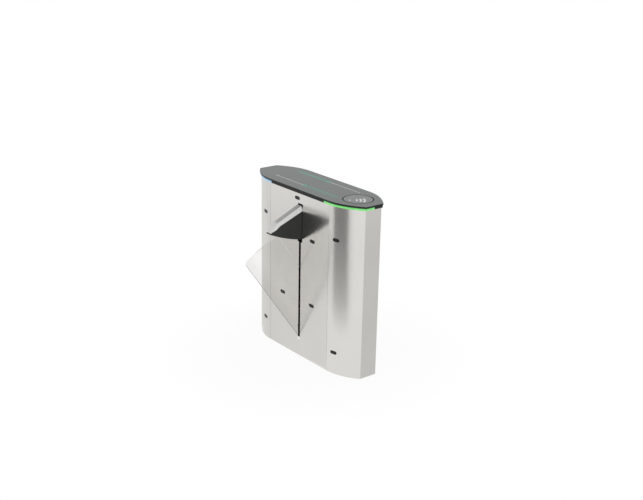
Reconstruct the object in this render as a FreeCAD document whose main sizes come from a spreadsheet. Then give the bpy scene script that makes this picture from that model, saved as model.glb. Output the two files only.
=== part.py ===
import FreeCAD, Part
import math
import os
import re
import Sketcher
from FreeCAD import Placement, Rotation, Vector

# A free-standing flap barrier: a steel lane cabinet with curved ends, a hinged lid, a rear service
# door and a two-leaf clear wing that fans out of a tall slot in the front face.
# X runs along the lane, the passage is on the -Y side, Z is up, the origin is the floor centre.

# Driving sizes, in millimetres and degrees.
SIZES = {
    # cabinet
    "body_length": 960, "body_width": 280, "body_height": 1000, "sheet": 1.5,
    "end_sweep": 207, "shoulder": 105, "end_face": 112, "seam_gap": 1, "floor_gap": 1,
    "base_thick": 6, "base_gap": 0.5, "anchor_inset": 53, "anchor_y": 95, "anchor_radius": 7,
    "cable_x": 150, "cable_y": -60, "cable_radius": 22, "grommet_wall": 3, "grommet_flange": 2,
    "post_side": 25, "post_gap": 0.5, "rail_depth": 20, "rail_drop": 2,
    # wing slot and pivot
    "wing_x": 14, "pivot_inset": 30, "pivot_z": 118, "slot_top_gap": 62, "slot_clear": 6,
    "wide_height": 226, "wide_clear": 2, "narrow_clear": 2, "slot_low": -12,
    "liner_wall": 1.5, "liner_depth": 3,
    # wing leaves
    "leaf_thick": 5, "leaf_gap": 2, "outer_tilt": 35.4, "inner_tilt": 19, "edge_offset": 22,
    "root_drop": 18, "root_width": 40, "rear_clear": 20, "leaf_drop": 136, "tip_radius": 20, "taper": 190,
    # pod and rail of the inner leaf
    "pod_width": 36, "rail_height": 33, "rail_end": 60, "rail_fall": 14, "rail_nose": 25,
    "nose_reach": 16, "nose_drop": 52, "nose_round": 4, "rail_brow": 5, "pod_belly": 81, "pod_clear": 9,
    "tie_radius": 3, "tie_cover": 4, "spacer_radius": 6,
    # shaft, hubs and bearings
    "shaft_radius": 8, "running_gap": 0.05, "hole_gap": 0.3, "flange_radius": 26, "flange_thick": 8,
    "boss_radius": 16, "boss_length": 20, "bush_wall": 3, "side_gap": 2, "bearing_radius": 15,
    "stand_thick": 12, "stand_half": 22, "collar_length": 6, "collar_radius": 13,
    "hub_screw_circle": 21, "hub_screw_radius": 2.5, "screw_head": 2,
    "drag_radius": 92, "drag_angle": 49, "drag_pin_radius": 5, "drag_reach": 3,
    # drive
    "drive_span": 170, "crank_length": 45, "half_stroke": 18, "arm_thick": 8, "arm_eye": 12, "rod_eye": 10,
    "rod_pin_radius": 4, "rod_gap": 0.3, "output_radius": 7, "gearbox_side": 70, "gearbox_width": 60,
    "motor_radius": 30, "motor_length": 140, "encoder_length": 18, "stand_sheet": 5,
    "lug_length": 55, "lug_half": 8, "lug_width": 10, "buffer_thick": 12, "buffer_top": 83,
    # sensors
    "sensor_length": 44, "sensor_height": 20, "sensor_depth": 20, "sensor_proud": 0.8, "sensor_gap": 0.25,
    "sensor_board": 2, "sensor_end_reach": 56, "sensor_low_z": 132, "sensor_high_z": 807, "sensor_inner_x": 138,
    "sensor_shift": -10, "sensor_mid_low_z": 353, "sensor_mid_high_z": 744, "sensor_top_shift": -28,
    "sensor_top_gap": 33,
    # equipment
    "plate_thick": 2, "plate_bottom": 220, "plate_top": 820, "standoff": 10, "standoff_radius": 4,
    "board_thick": 2, "board_width": 160, "board_height": 220, "board_z": 640, "supply_depth": 45,
    "supply_width": 120, "supply_height": 180, "supply_z": 250, "battery_length": 150, "battery_width": 65,
    "battery_height": 95, "battery_x": 125, "battery_y": 70,
    # lid
    "lid_overhang": 10, "band_height": 15, "band_recess": 3, "band_inset": 6, "lid_base_thick": 5,
    "lid_glass_thick": 4, "lid_chamfer": 1.5, "green_lead": 40, "blue_lead": 19,
    "reader_inset": 130, "reader_radius": 88, "reader_gap": 0.3,
    "reader_module": 100, "reader_module_depth": 20,
    "indicator_margin": 30, "indicator_width": 150, "indicator_depth": 6,
    "lid_hinge_inset": 90, "lid_hinge_half": 35, "barrel_radius": 4, "pin_radius": 2, "knuckle_gap": 0.5,
    "lid_leaf": 2, "lid_web": 6, "notch_gap": 2,
    # rear door
    "door_gap": 3, "door_leaf": 2, "door_leaf_width": 24, "door_hinge_half": 40, "door_hinge_z": 180,
    "door_barrel_clear": 0.2, "leaf_notch": 4.5,
    "stiffener_inset": 100, "stiffener_width": 40, "stiffener_depth": 15,
    "lock_inset": 35, "lock_z": 480, "lock_radius": 9, "lock_flange": 13, "lock_proud": 2.5, "lock_depth": 30,
    "plug_radius": 6, "cam_length": 45, "cam_half": 8, "cam_thick": 3,
}

document = FreeCAD.newDocument("flap_barrier")
sheet = document.addObject("Spreadsheet::Sheet", "sizes")
for row, (alias, value) in enumerate(SIZES.items(), start=1):
    sheet.set(f"A{row}", alias)
    sheet.set(f"B{row}", str(value))
    sheet.setAlias(f"B{row}", alias)
document.recompute()

# Places that many pieces share, written with the sheet's names.
FRONT = "(-body_width / 2)"
BACK = "(body_width / 2)"
SEAM = "(body_length / 2 - end_sweep)"
PIVOT_Y = "(pivot_inset - body_width / 2)"
DRIVE_Y = "(pivot_inset - body_width / 2 + drive_span)"
SLOT_TOP = "(body_height - slot_top_gap)"
LID_BASE_Z = "(body_height + band_height)"
LID_GLASS_Z = "(body_height + band_height + lid_base_thick)"
LEAF_DEPTH = "(body_width - pivot_inset - rear_clear)"
RAIL_REACH = "(body_height - slot_top_gap - slot_clear - pivot_z)"
POD_REACH = "(body_height - slot_top_gap - wide_height + pod_clear - pivot_z)"
INNER_FACE = "(wing_x + leaf_gap / 2)"
OUTER_FACE = "(wing_x - leaf_gap / 2)"
POST_Y = "(body_width / 2 - sheet - post_gap - post_side)"
RAIL_TOP = "(body_height - rail_drop)"

nodes = []


def size(expression):
    """The number that an expression of sheet names stands for."""
    if isinstance(expression, str):
        return float(sheet.evalExpression(expression))
    return float(expression)


def bound(expression):
    """The same expression as another object of the document writes it."""
    def qualify(word):
        return f"sizes.{word.group()}" if word.group() in SIZES else word.group()
    return re.sub(r"[a-z][a-z_0-9]*", qualify, str(expression))


def bind(item, prop, expression):
    item.setExpression(prop, bound(expression))


def place(item, spot):
    for axis, expression in zip("xyz", spot):
        bind(item, f"Placement.Base.{axis}", expression)


def node(item, label):
    """Mark a piece as one sub-part of the assembly."""
    item.Label = label
    nodes.append(item)
    return item


def box(name, corner, sides):
    item = document.addObject("Part::Box", name)
    for prop, expression in zip(("Length", "Width", "Height"), sides):
        bind(item, prop, expression)
    place(item, corner)
    return item


TURN_TO = {
    "X": Rotation(Vector(0, 1, 0), 90),
    "Y": Rotation(Vector(1, 0, 0), -90),
    "Z": Rotation(),
}


def cylinder(name, foot, radius, length, axis):
    item = document.addObject("Part::Cylinder", name)
    bind(item, "Radius", radius)
    bind(item, "Height", length)
    item.Placement = Placement(Vector(), TURN_TO[axis])
    place(item, foot)
    return item


def fuse(name, *pieces):
    item = document.addObject("Part::MultiFuse", name)
    item.Shapes = list(pieces)
    item.Refine = True
    return item


def cut(name, base, *tools):
    item = document.addObject("Part::Cut", name)
    item.Base = base
    item.Tool = tools[0] if len(tools) == 1 else fuse(f"{name}_tools", *tools)
    return item


def common(name, first, second):
    item = document.addObject("Part::Common", name)
    item.Base = first
    item.Tool = second
    return item


def group(name, *pieces):
    """Separate solids kept together as one sub-part."""
    item = document.addObject("Part::Compound", name)
    item.Links = list(pieces)
    return item


def turned(item, foot, angle):
    """Turn a piece about an X axis through its foot, as a leaf turns on the wing shaft."""
    item.Placement = Placement(Vector(), Rotation(Vector(1, 0, 0), size(angle)))
    bind(item, "Placement.Rotation.Angle", angle)
    place(item, foot)
    return item


def new_sketch(name, plane):
    body = document.addObject("PartDesign::Body", name)
    sketch = body.newObject("Sketcher::SketchObject", f"{name}_sketch")
    support = [feature for feature in body.Origin.OriginFeatures if feature.Role == plane]
    sketch.AttachmentSupport = [(support[0], "")]
    sketch.MapMode = "FlatFace"
    return body, sketch


def fix_point(sketch, edge, end, spot):
    """Hold one point of a sketch at its place; written sizes keep it bound to the sheet."""
    for kind, coordinate in zip(("DistanceX", "DistanceY"), spot):
        index = sketch.addConstraint(Sketcher.Constraint(kind, edge, end, size(coordinate)))
        if isinstance(coordinate, str):
            bind(sketch, f"Constraints[{index}]", coordinate)


def draw(sketch, points, arcs=None):
    """Draw a closed outline: straight between points, or an arc where a point to pass is given."""
    arcs = arcs or {}
    flat = [Vector(size(x), size(y), 0) for x, y in points]
    ends = []
    for index, start in enumerate(flat):
        finish = flat[(index + 1) % len(flat)]
        if index in arcs:
            through = Vector(size(arcs[index][0]), size(arcs[index][1]), 0)
            left_turn = (through - start).cross(finish - through).z > 0
            line = Part.Arc(start, through, finish) if left_turn else Part.Arc(finish, through, start)
        else:
            line = Part.LineSegment(start, finish)
        edge = sketch.addGeometry(line, False)
        forward = (sketch.Geometry[edge].StartPoint - start).Length < 1e-6
        ends.append((edge, 1, 2) if forward else (edge, 2, 1))
    for index, (edge, _, finish_end) in enumerate(ends):
        following, start_end, _ = ends[(index + 1) % len(ends)]
        sketch.addConstraint(Sketcher.Constraint("Coincident", edge, finish_end, following, start_end))
    for (edge, start_end, _), spot in zip(ends, points):
        fix_point(sketch, edge, start_end, spot)


def ring(sketch, centre, radius):
    spot = Vector(size(centre[0]), size(centre[1]), 0)
    edge = sketch.addGeometry(Part.Circle(spot, Vector(0, 0, 1), size(radius)), False)
    fix_point(sketch, edge, 3, centre)
    index = sketch.addConstraint(Sketcher.Constraint("Radius", edge, size(radius)))
    bind(sketch, f"Constraints[{index}]", radius)


def pad(body, sketch, length):
    feature = body.newObject("PartDesign::Pad", f"{body.Name}_pad")
    feature.Profile = sketch
    bind(feature, "Length", length)
    return feature


def plate(name, plane, points, length, arcs=None, holes=()):
    """A flat piece: one outline with round holes, padded from a plane of its own."""
    body, sketch = new_sketch(name, plane)
    draw(sketch, points, arcs)
    for centre, radius in holes:
        ring(sketch, centre, radius)
    pad(body, sketch, length)
    return body


def plan_solid(name, offset, length, height):
    """The cabinet's plan grown by an offset: straight sides, swept corners and flat ends."""
    body, sketch = new_sketch(name, "XY_Plane")
    grow = size(offset)
    run = size("end_sweep - shoulder")
    fall = size("(body_width - end_face) / 2")
    slant = math.hypot(run, fall)
    side = size(BACK) + grow
    bend = size(f"{SEAM} + shoulder") + grow * (slant - run) / fall
    end = size("body_length / 2") + grow
    flat_half = size("end_face / 2") + grow * (slant - fall) / run
    quarters = ((1, -1), (1, 1), (-1, 1), (-1, -1))
    for index, (along, across) in enumerate(quarters):
        start = Vector(along * size(SEAM), across * side, 0)
        control = Vector(along * bend, across * side, 0)
        finish = Vector(along * end, across * flat_half, 0)
        leaving = index % 2 == 0
        curve = Part.BezierCurve()
        curve.setPoles([start, control, finish] if leaving else [finish, control, start])
        edge = sketch.addGeometry(curve.toBSpline(), False)
        next_along, next_across = quarters[(index + 1) % 4]
        if leaving:
            following = Part.LineSegment(finish, Vector(next_along * end, next_across * flat_half, 0))
        else:
            following = Part.LineSegment(start, Vector(next_along * size(SEAM), next_across * side, 0))
        sketch.addGeometry(following, False)
        fix_point(sketch, edge, 1 if leaving else 2,
                  (f"{along} * {SEAM}", f"{across} * (body_width / 2 + {offset})"))
        fix_point(sketch, edge, 2 if leaving else 1,
                  (f"{along} * (body_length / 2 + {offset})", across * flat_half))
    for index in range(8):
        sketch.addConstraint(Sketcher.Constraint("Coincident", index, 2, (index + 1) % 8, 1))
    pad(body, sketch, length)
    bind(body, "Placement.Base.z", height)
    return body


def soften(body, feature_kind, side, amount):
    """Fillet or chamfer the edges of the face that lies furthest to one side of a padded piece."""
    document.recompute()
    base = body.Tip
    direction = Vector(*side)
    faces = base.Shape.Faces
    reach = [face.CenterOfMass.dot(direction) for face in faces]
    furthest = reach.index(max(reach))
    feature = body.newObject(f"PartDesign::{feature_kind}", f"{body.Name}_edges")
    feature.Base = (base, [f"Face{furthest + 1}"])
    bind(feature, "Size" if feature_kind == "Chamfer" else "Radius", amount)
    return body


def stadium(name, length, half, thick, holes):
    """A link: a flat bar with round ends that runs up from its first eye."""
    points = [(half, "0"), (half, length), (f"-{half}", length), (f"-{half}", "0")]
    arcs = {1: ("0", f"{length} + {half}"), 3: ("0", f"-{half}")}
    return plate(name, "YZ_Plane", points, thick, arcs, holes)


def polar(radius, angle):
    """A point of a leaf's own plane, its angle measured from the leaf's long axis inwards."""
    return f"({radius}) * sin({angle})", f"({radius}) * cos({angle})"


def on_leaf(spot, tilt):
    """Where a point of a tilted leaf's own plane lies in the cabinet."""
    across, along = spot
    y = f"{PIVOT_Y} + ({across}) * cos({tilt}) - ({along}) * sin({tilt})"
    z = f"pivot_z + ({across}) * sin({tilt}) + ({along}) * cos({tilt})"
    return y, z


def tube(name, foot, outer, inner, length, axis):
    solid = cylinder(f"{name}_solid", foot, outer, length, axis)
    bore = cylinder(f"{name}_bore", foot, inner, length, axis)
    return cut(name, solid, bore)


# Base plate, with its anchor holes and the cable entry
base_blank = plan_solid("base_blank", "-(sheet + base_gap)", "base_thick", "0")
base_tools = []
for along in (-1, 1):
    for across in (-1, 1):
        spot = (f"{along} * ({SEAM} - anchor_inset)", f"{across} * anchor_y", "-base_thick")
        base_tools.append(cylinder(f"anchor_hole_{along}_{across}".replace("-", "m"), spot,
                                   "anchor_radius", "3 * base_thick", "Z"))
base_tools.append(cylinder("cable_hole", ("cable_x", "cable_y", "-base_thick"),
                           "cable_radius + grommet_wall + running_gap", "3 * base_thick", "Z"))
node(cut("base_cut", base_blank, *base_tools), "base_plate")

# Cable grommet, pressed into the entry from inside
grommet_sleeve = cylinder("grommet_sleeve", ("cable_x", "cable_y", "0"),
                          "cable_radius + grommet_wall", "base_thick", "Z")
grommet_rim = cylinder("grommet_rim", ("cable_x", "cable_y", "base_thick"),
                       "cable_radius + 2 * grommet_wall", "grommet_flange", "Z")
grommet_bore = cylinder("grommet_bore", ("cable_x", "cable_y", "-base_thick"),
                        "cable_radius", "3 * base_thick", "Z")
node(cut("grommet", fuse("grommet_solid", grommet_sleeve, grommet_rim), grommet_bore), "cable_grommet")

# Inner frame: four posts behind the seams and four rails on their tops
posts = []
rails = []
for along in (-1, 1):
    for across in (-1, 1):
        front_corner = POST_Y if across > 0 else f"(-{POST_Y} - post_side)"
        spot = (f"{along} * {SEAM} - post_side / 2", front_corner, "base_thick")
        height = f"{RAIL_TOP} - rail_depth - base_thick"
        posts.append(box(f"post_{len(posts)}", spot, ("post_side", "post_side", height)))
for across in (-1, 1):
    front_corner = POST_Y if across > 0 else f"(-{POST_Y} - post_side)"
    spot = (f"-{SEAM} - post_side / 2", front_corner, f"{RAIL_TOP} - rail_depth")
    rails.append(box(f"long_rail_{len(rails)}", spot, (f"2 * {SEAM} + post_side", "post_side", "rail_depth")))
for along in (-1, 1):
    spot = (f"{along} * {SEAM} - post_side / 2", f"-{POST_Y}", f"{RAIL_TOP} - rail_depth")
    rails.append(box(f"short_rail_{len(rails)}", spot, ("post_side", f"2 * {POST_Y}", "rail_depth")))
node(group("posts", *posts), "frame_posts")
node(group("rails", *rails), "frame_rails")

# Sensor windows: dark slots in the front skin, four on the end shells and five on the front panel
SENSOR_END_X = f"({SEAM} + sensor_end_reach)"
SENSORS = [
    (SENSOR_END_X, "sensor_low_z"),
    (f"-{SENSOR_END_X}", "sensor_low_z"),
    (SENSOR_END_X, "sensor_high_z"),
    (f"-{SENSOR_END_X}", "sensor_high_z"),
    ("sensor_shift + sensor_inner_x", "sensor_mid_low_z"),
    ("sensor_shift - sensor_inner_x", "sensor_mid_low_z"),
    ("sensor_shift + sensor_inner_x", "sensor_mid_high_z"),
    ("sensor_shift - sensor_inner_x", "sensor_mid_high_z"),
    ("wing_x + sensor_top_shift", "body_height - sensor_top_gap"),
]


def sensor_prisms(name, grow):
    """Round-ended bars through the front skin at every sensor."""
    prisms = []
    for index, (x, z) in enumerate(SENSORS):
        half = f"(sensor_height / 2 + {grow})"
        reach = "(sensor_length - sensor_height) / 2"
        points = [(f"{x} - {reach}", f"{z} - {half}"), (f"{x} + {reach}", f"{z} - {half}"),
                  (f"{x} + {reach}", f"{z} + {half}"), (f"{x} - {reach}", f"{z} + {half}")]
        arcs = {1: (f"{x} + {reach} + {half}", z), 3: (f"{x} - {reach} - {half}", z)}
        prism = plate(f"{name}_{index}", "XZ_Plane", points, "2 * sensor_depth", arcs)
        bind(prism, "Placement.Base.y", f"{FRONT} + sensor_depth")
        prisms.append(prism)
    return group(name, *prisms)


sensor_holes = sensor_prisms("sensor_holes", "sensor_gap")
sensor_skin = plan_solid("sensor_skin", "sensor_proud", "body_height", "0")
node(common("windows", sensor_prisms("sensor_plugs", "0"), sensor_skin), "sensor_windows")
boards = []
for index, (x, z) in enumerate(SENSORS):
    spot = (f"{x} - (sensor_length - sensor_height) / 2", f"{FRONT} + sensor_depth", f"{z} - sensor_height / 2")
    boards.append(box(f"sensor_board_{index}", spot,
                      ("sensor_length - sensor_height", "sensor_board", "sensor_height")))
node(group("sensor_board_set", *boards), "sensor_boards")

# End shells: one bent sheet round each end, from seam to seam
shell_outer = plan_solid("shell_outer", "0", "body_height - floor_gap", "floor_gap")
shell_inner = plan_solid("shell_inner", "-sheet", "body_height", "0")
shell_wall = cut("shell_wall", shell_outer, shell_inner)
right_zone = box("right_zone", (f"{SEAM} + seam_gap / 2", FRONT, "0"),
                 ("end_sweep", "body_width", "body_height"))
left_zone = box("left_zone", (f"-{SEAM} - seam_gap / 2 - end_sweep", FRONT, "0"),
                ("end_sweep", "body_width", "body_height"))
node(cut("right_shell", common("right_skin", shell_wall, right_zone), sensor_holes), "right_end_shell")
node(cut("left_shell", common("left_skin", shell_wall, left_zone), sensor_holes), "left_end_shell")


# Front panel with the wing slot: wide above for the pod, narrow below for the leaves
def slot_prism(name, grow, depth):
    wide_half = f"(pod_width / 2 + wide_clear + {grow})"
    narrow_half = f"(leaf_gap / 2 + leaf_thick + narrow_clear + {grow})"
    wide = box(f"{name}_wide", (f"wing_x - {wide_half}", FRONT, f"{SLOT_TOP} - wide_height - {grow}"),
               (f"2 * {wide_half}", depth, f"wide_height + 2 * {grow}"))
    foot = f"(pivot_z + slot_low - {grow})"
    narrow = box(f"{name}_narrow", (f"wing_x - {narrow_half}", FRONT, foot),
                 (f"2 * {narrow_half}", depth, f"{SLOT_TOP} - {foot}"))
    return fuse(name, wide, narrow)


panel_blank = box("panel_blank", (f"seam_gap / 2 - {SEAM}", FRONT, "floor_gap"),
                  (f"2 * {SEAM} - seam_gap", "sheet", "body_height - floor_gap"))
panel_slot = cut("panel_slot", panel_blank, slot_prism("slot_hole", "liner_wall", "liner_depth"))
node(cut("panel_cut", panel_slot, sensor_holes), "front_panel")
node(cut("liner", slot_prism("liner_outer", "liner_wall", "liner_depth"),
         slot_prism("liner_inner", "0", "liner_depth")), "slot_liner")

# Equipment on the left-hand posts: plate, control board on stand-offs and power supply
PLATE_X = f"(post_side / 2 - {SEAM})"
node(box("equipment_back", (PLATE_X, f"-{POST_Y} - post_side", "plate_bottom"),
         ("plate_thick", f"2 * ({POST_Y} + post_side)", "plate_top - plate_bottom")), "equipment_plate")
standoffs = []
for across in (-1, 1):
    for above in (-1, 1):
        spot = (f"{PLATE_X} + plate_thick", f"{across} * (board_width / 2 - 2 * standoff_radius)",
                f"board_z + {above} * (board_height / 2 - 2 * standoff_radius)")
        standoffs.append(cylinder(f"standoff_{len(standoffs)}", spot, "standoff_radius", "standoff", "X"))
node(group("standoff_set", *standoffs), "board_standoffs")
BOARD_X = f"({PLATE_X} + plate_thick + standoff)"
board_sheet = box("board_sheet", (BOARD_X, "-board_width / 2", "board_z - board_height / 2"),
                  ("board_thick", "board_width", "board_height"))
relay_bank = box("relay_bank", (f"{BOARD_X} + board_thick", "-board_width / 3", "board_z + board_height / 5"),
                 ("standoff * 2", "board_width / 2", "board_height / 6"))
connectors = box("connectors",
                 (f"{BOARD_X} + board_thick", "-board_width / 2.5", "board_z - board_height / 2.2"),
                 ("standoff", "board_width / 1.25", "board_height / 10"))
processor = box("processor", (f"{BOARD_X} + board_thick", "-board_width / 10", "board_z - board_height / 8"),
                ("board_thick", "board_width / 5", "board_width / 5"))
node(fuse("board", board_sheet, relay_bank, connectors, processor), "control_board")
node(box("supply", (f"{PLATE_X} + plate_thick", "-supply_width / 2", "supply_z"),
         ("supply_depth", "supply_width", "supply_height")), "power_supply")
node(box("battery_case", ("battery_x - battery_length / 2", "battery_y - battery_width / 2", "base_thick"),
         ("battery_length", "battery_width", "battery_height")), "backup_battery")

# Places along the wing shaft, from the wing's middle outwards
HUB_REACH = "(leaf_gap / 2 + leaf_thick + flange_thick + boss_length)"
LEFT_STAND = f"(wing_x - {HUB_REACH} - side_gap - stand_thick)"
RIGHT_STAND = f"(wing_x + {HUB_REACH} + side_gap)"
ROD_X = f"({LEFT_STAND} - side_gap - arm_thick)"
ROCKER_X = f"({ROD_X} - side_gap - arm_thick)"
GEARBOX_X = f"({ROCKER_X} - side_gap - gearbox_width)"
COLLAR_X = f"({RIGHT_STAND} + stand_thick + side_gap / 2)"
SHAFT_BORE = "shaft_radius + running_gap"

# Bearing stands on the base plate, each with its ball bearing
stands = []
bearings = []
for index, stand_x in enumerate((LEFT_STAND, RIGHT_STAND)):
    points = [(f"{PIVOT_Y} - stand_half", "base_thick"), (f"{PIVOT_Y} + stand_half", "base_thick"),
              (f"{PIVOT_Y} + stand_half", "pivot_z"), (f"{PIVOT_Y} - stand_half", "pivot_z")]
    stand = plate(f"stand_{index}", "YZ_Plane", points, "stand_thick",
                  {2: (PIVOT_Y, "pivot_z + stand_half")},
                  [((PIVOT_Y, "pivot_z"), "bearing_radius + running_gap")])
    bind(stand, "Placement.Base.x", stand_x)
    stands.append(stand)
    bearings.append(tube(f"bearing_{index}", (stand_x, PIVOT_Y, "pivot_z"),
                         "bearing_radius", SHAFT_BORE, "stand_thick", "X"))
node(group("stand_pair", *stands), "bearing_stands")
node(group("bearing_pair", *bearings), "shaft_bearings")

# Wing shaft and its retaining collar
node(cylinder("shaft", (ROCKER_X, PIVOT_Y, "pivot_z"), "shaft_radius",
              f"{COLLAR_X} + collar_length - {ROCKER_X}", "X"), "wing_shaft")
node(tube("collar", (COLLAR_X, PIVOT_Y, "pivot_z"), "collar_radius", SHAFT_BORE, "collar_length", "X"),
     "shaft_collar")

# Outer clear leaf: a strip that leans out of the slot, with a round tip and a top edge swung from the shaft
LEAF_REACH = f"({RAIL_REACH} - leaf_drop)"
TIP_U = f"sqrt(({LEAF_REACH} - tip_radius)^2 - (tip_radius - edge_offset)^2)"
TIP_SHARE = f"{LEAF_REACH} / ({LEAF_REACH} - tip_radius)"
SCREW_ANGLES = ("10", "70", "130")
screw_holes = [(polar("hub_screw_circle", angle), "hub_screw_radius + running_gap") for angle in SCREW_ANGLES]
shaft_hole = (("0", "0"), "shaft_radius + hole_gap")
root = [("-edge_offset", "-root_drop"), ("root_width", "-root_drop"), (LEAF_DEPTH, "taper - root_drop")]
outer_points = root + [
    (LEAF_DEPTH, f"sqrt({LEAF_REACH}^2 - {LEAF_DEPTH}^2)"),
    (f"(tip_radius - edge_offset) * {TIP_SHARE}", f"{TIP_U} * {TIP_SHARE}"),
    ("-edge_offset", TIP_U),
]
outer_arcs = {
    3: (f"{LEAF_DEPTH} / 2", f"sqrt({LEAF_REACH}^2 - ({LEAF_DEPTH} / 2)^2)"),
    4: ("tip_radius * (1 - sin(45)) - edge_offset", f"{TIP_U} + tip_radius * sin(45)"),
}
drag_hole = (polar("drag_radius", "drag_angle"), "drag_pin_radius + running_gap")
outer_leaf = plate("outer_leaf_blank", "YZ_Plane", outer_points, "leaf_thick", outer_arcs,
                   [shaft_hole, drag_hole] + screw_holes)
node(turned(outer_leaf, (f"{OUTER_FACE} - leaf_thick", PIVOT_Y, "pivot_z"), "outer_tilt"), "outer_leaf")


# Flanged hub for one leaf, with the screws that clamp the leaf to its flange
def screw_set(name, leaf_face, head_face, tilt):
    """Three screws from a hub's flange into its leaf; the head lies on the flange."""
    screws = []
    for index, angle in enumerate(SCREW_ANGLES):
        y, z = on_leaf(polar("hub_screw_circle", angle), tilt)
        left, right = (head_face, leaf_face) if name == "outer" else (leaf_face, head_face)
        shank = cylinder(f"{name}_shank_{index}", (left, y, z), "hub_screw_radius", f"{right} - {left}", "X")
        head_x = f"{head_face} - screw_head" if name == "outer" else head_face
        head = cylinder(f"{name}_head_{index}", (head_x, y, z), "hub_screw_radius * 1.6", "screw_head", "X")
        screws.append(fuse(f"{name}_screw_{index}", shank, head))
    return group(f"{name}_screw_set", *screws)


def hub_holes(name, flange_x, tilt):
    tools = []
    for index, angle in enumerate(SCREW_ANGLES):
        y, z = on_leaf(polar("hub_screw_circle", angle), tilt)
        tools.append(cylinder(f"{name}_hub_hole_{index}", (flange_x, y, z),
                              "hub_screw_radius + running_gap", "flange_thick", "X"))
    return tools


OUTER_FLANGE_X = f"({OUTER_FACE} - leaf_thick - flange_thick)"
OUTER_BOSS_X = f"({OUTER_FLANGE_X} - boss_length)"
outer_flange = cylinder("outer_flange", (OUTER_FLANGE_X, PIVOT_Y, "pivot_z"),
                        "flange_radius", "flange_thick", "X")
outer_boss = cylinder("outer_boss", (OUTER_BOSS_X, PIVOT_Y, "pivot_z"), "boss_radius", "boss_length", "X")
stop_lug = plate("stop_lug", "YZ_Plane", [("-lug_half", "-lug_length"), ("lug_half", "-lug_length"),
                                          ("lug_half", "0"), ("-lug_half", "0")], "lug_width")
turned(stop_lug, (OUTER_BOSS_X, PIVOT_Y, "pivot_z"), "half_stroke")
outer_bore = cylinder("outer_bore", (OUTER_BOSS_X, PIVOT_Y, "pivot_z"), SHAFT_BORE,
                      "boss_length + flange_thick", "X")
outer_hub_solid = fuse("outer_hub_solid", outer_flange, outer_boss, stop_lug)
outer_holes = hub_holes("outer", OUTER_FLANGE_X, "outer_tilt")
node(cut("outer_hub_cut", outer_hub_solid, outer_bore, *outer_holes), "outer_hub")
node(screw_set("outer", OUTER_FACE, OUTER_FLANGE_X, "outer_tilt"), "outer_hub_screws")
drag_y, drag_z = on_leaf(polar("drag_radius", "drag_angle"), "outer_tilt")
node(cylinder("drag_peg", (f"{OUTER_FACE} - leaf_thick - drag_reach", drag_y, drag_z), "drag_pin_radius",
              "leaf_gap + 2 * (leaf_thick + drag_reach)", "X"), "drag_pin")

# Stop buffers: a block behind the hub's lug and a pad in front of it
LUG_SWING = "(lug_length * sin(half_stroke) + lug_half * cos(half_stroke) + hole_gap)"
rear_buffer = box("rear_buffer", (OUTER_BOSS_X, f"{PIVOT_Y} + {LUG_SWING}", "base_thick"),
                  ("lug_width", "buffer_thick", "buffer_top - base_thick"))
front_buffer = box("front_buffer", (OUTER_BOSS_X, f"{FRONT} + sheet", "base_thick"),
                   ("lug_width", f"pivot_inset - sheet - {LUG_SWING}", "buffer_top - base_thick"))
node(group("buffers", rear_buffer, front_buffer), "stop_buffers")

# Inner leaf: clear panel with the rail and the pod at its top, and an arc slot for the drag pin
RAIL_U = f"sqrt({RAIL_REACH}^2 - {LEAF_DEPTH}^2)"
RAIL_LOW = (LEAF_DEPTH, f"{RAIL_U} - rail_height")
RAIL_STEP = ("rail_end", f"{RAIL_U} - rail_fall - rail_nose")
NOSE_DIP = ("rail_end / 2", f"{RAIL_U} - nose_drop + nose_round")
NOSE_TOP = ("nose_round - nose_reach", f"{RAIL_U} - nose_drop + nose_round")
NOSE_FOOT = ("nose_round * 0.75 - nose_reach", f"{RAIL_U} - nose_drop - nose_round")
DRAG_START = "(drag_angle - outer_tilt + inner_tilt)"
DRAG_END = "(drag_angle + 1)"
DRAG_HALF = "(drag_pin_radius + hole_gap)"
inner_points = [(NOSE_FOOT[0], "-root_drop")] + root[1:] + [RAIL_LOW, RAIL_STEP, NOSE_DIP, NOSE_TOP, NOSE_FOOT]
inner_leaf_blank = plate("inner_leaf_blank", "YZ_Plane", inner_points, "leaf_thick",
                         holes=[shaft_hole] + screw_holes)
turned(inner_leaf_blank, (INNER_FACE, PIVOT_Y, "pivot_z"), "inner_tilt")
inside, outside = f"drag_radius - {DRAG_HALF}", f"drag_radius + {DRAG_HALF}"
middle = f"({DRAG_START} + {DRAG_END}) / 2"
cap_end = (f"drag_radius * sin({DRAG_END}) + {DRAG_HALF} * cos({DRAG_END})",
           f"drag_radius * cos({DRAG_END}) - {DRAG_HALF} * sin({DRAG_END})")
cap_start = (f"drag_radius * sin({DRAG_START}) - {DRAG_HALF} * cos({DRAG_START})",
             f"drag_radius * cos({DRAG_START}) + {DRAG_HALF} * sin({DRAG_START})")
drag_points = [polar(inside, DRAG_START), polar(inside, DRAG_END),
               polar(outside, DRAG_END), polar(outside, DRAG_START)]
drag_arcs = {0: polar(inside, middle), 1: cap_end, 2: polar(outside, middle), 3: cap_start}
drag_slot = plate("drag_slot", "YZ_Plane", drag_points, "leaf_thick", drag_arcs)
turned(drag_slot, (INNER_FACE, PIVOT_Y, "pivot_z"), "inner_tilt")

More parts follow.
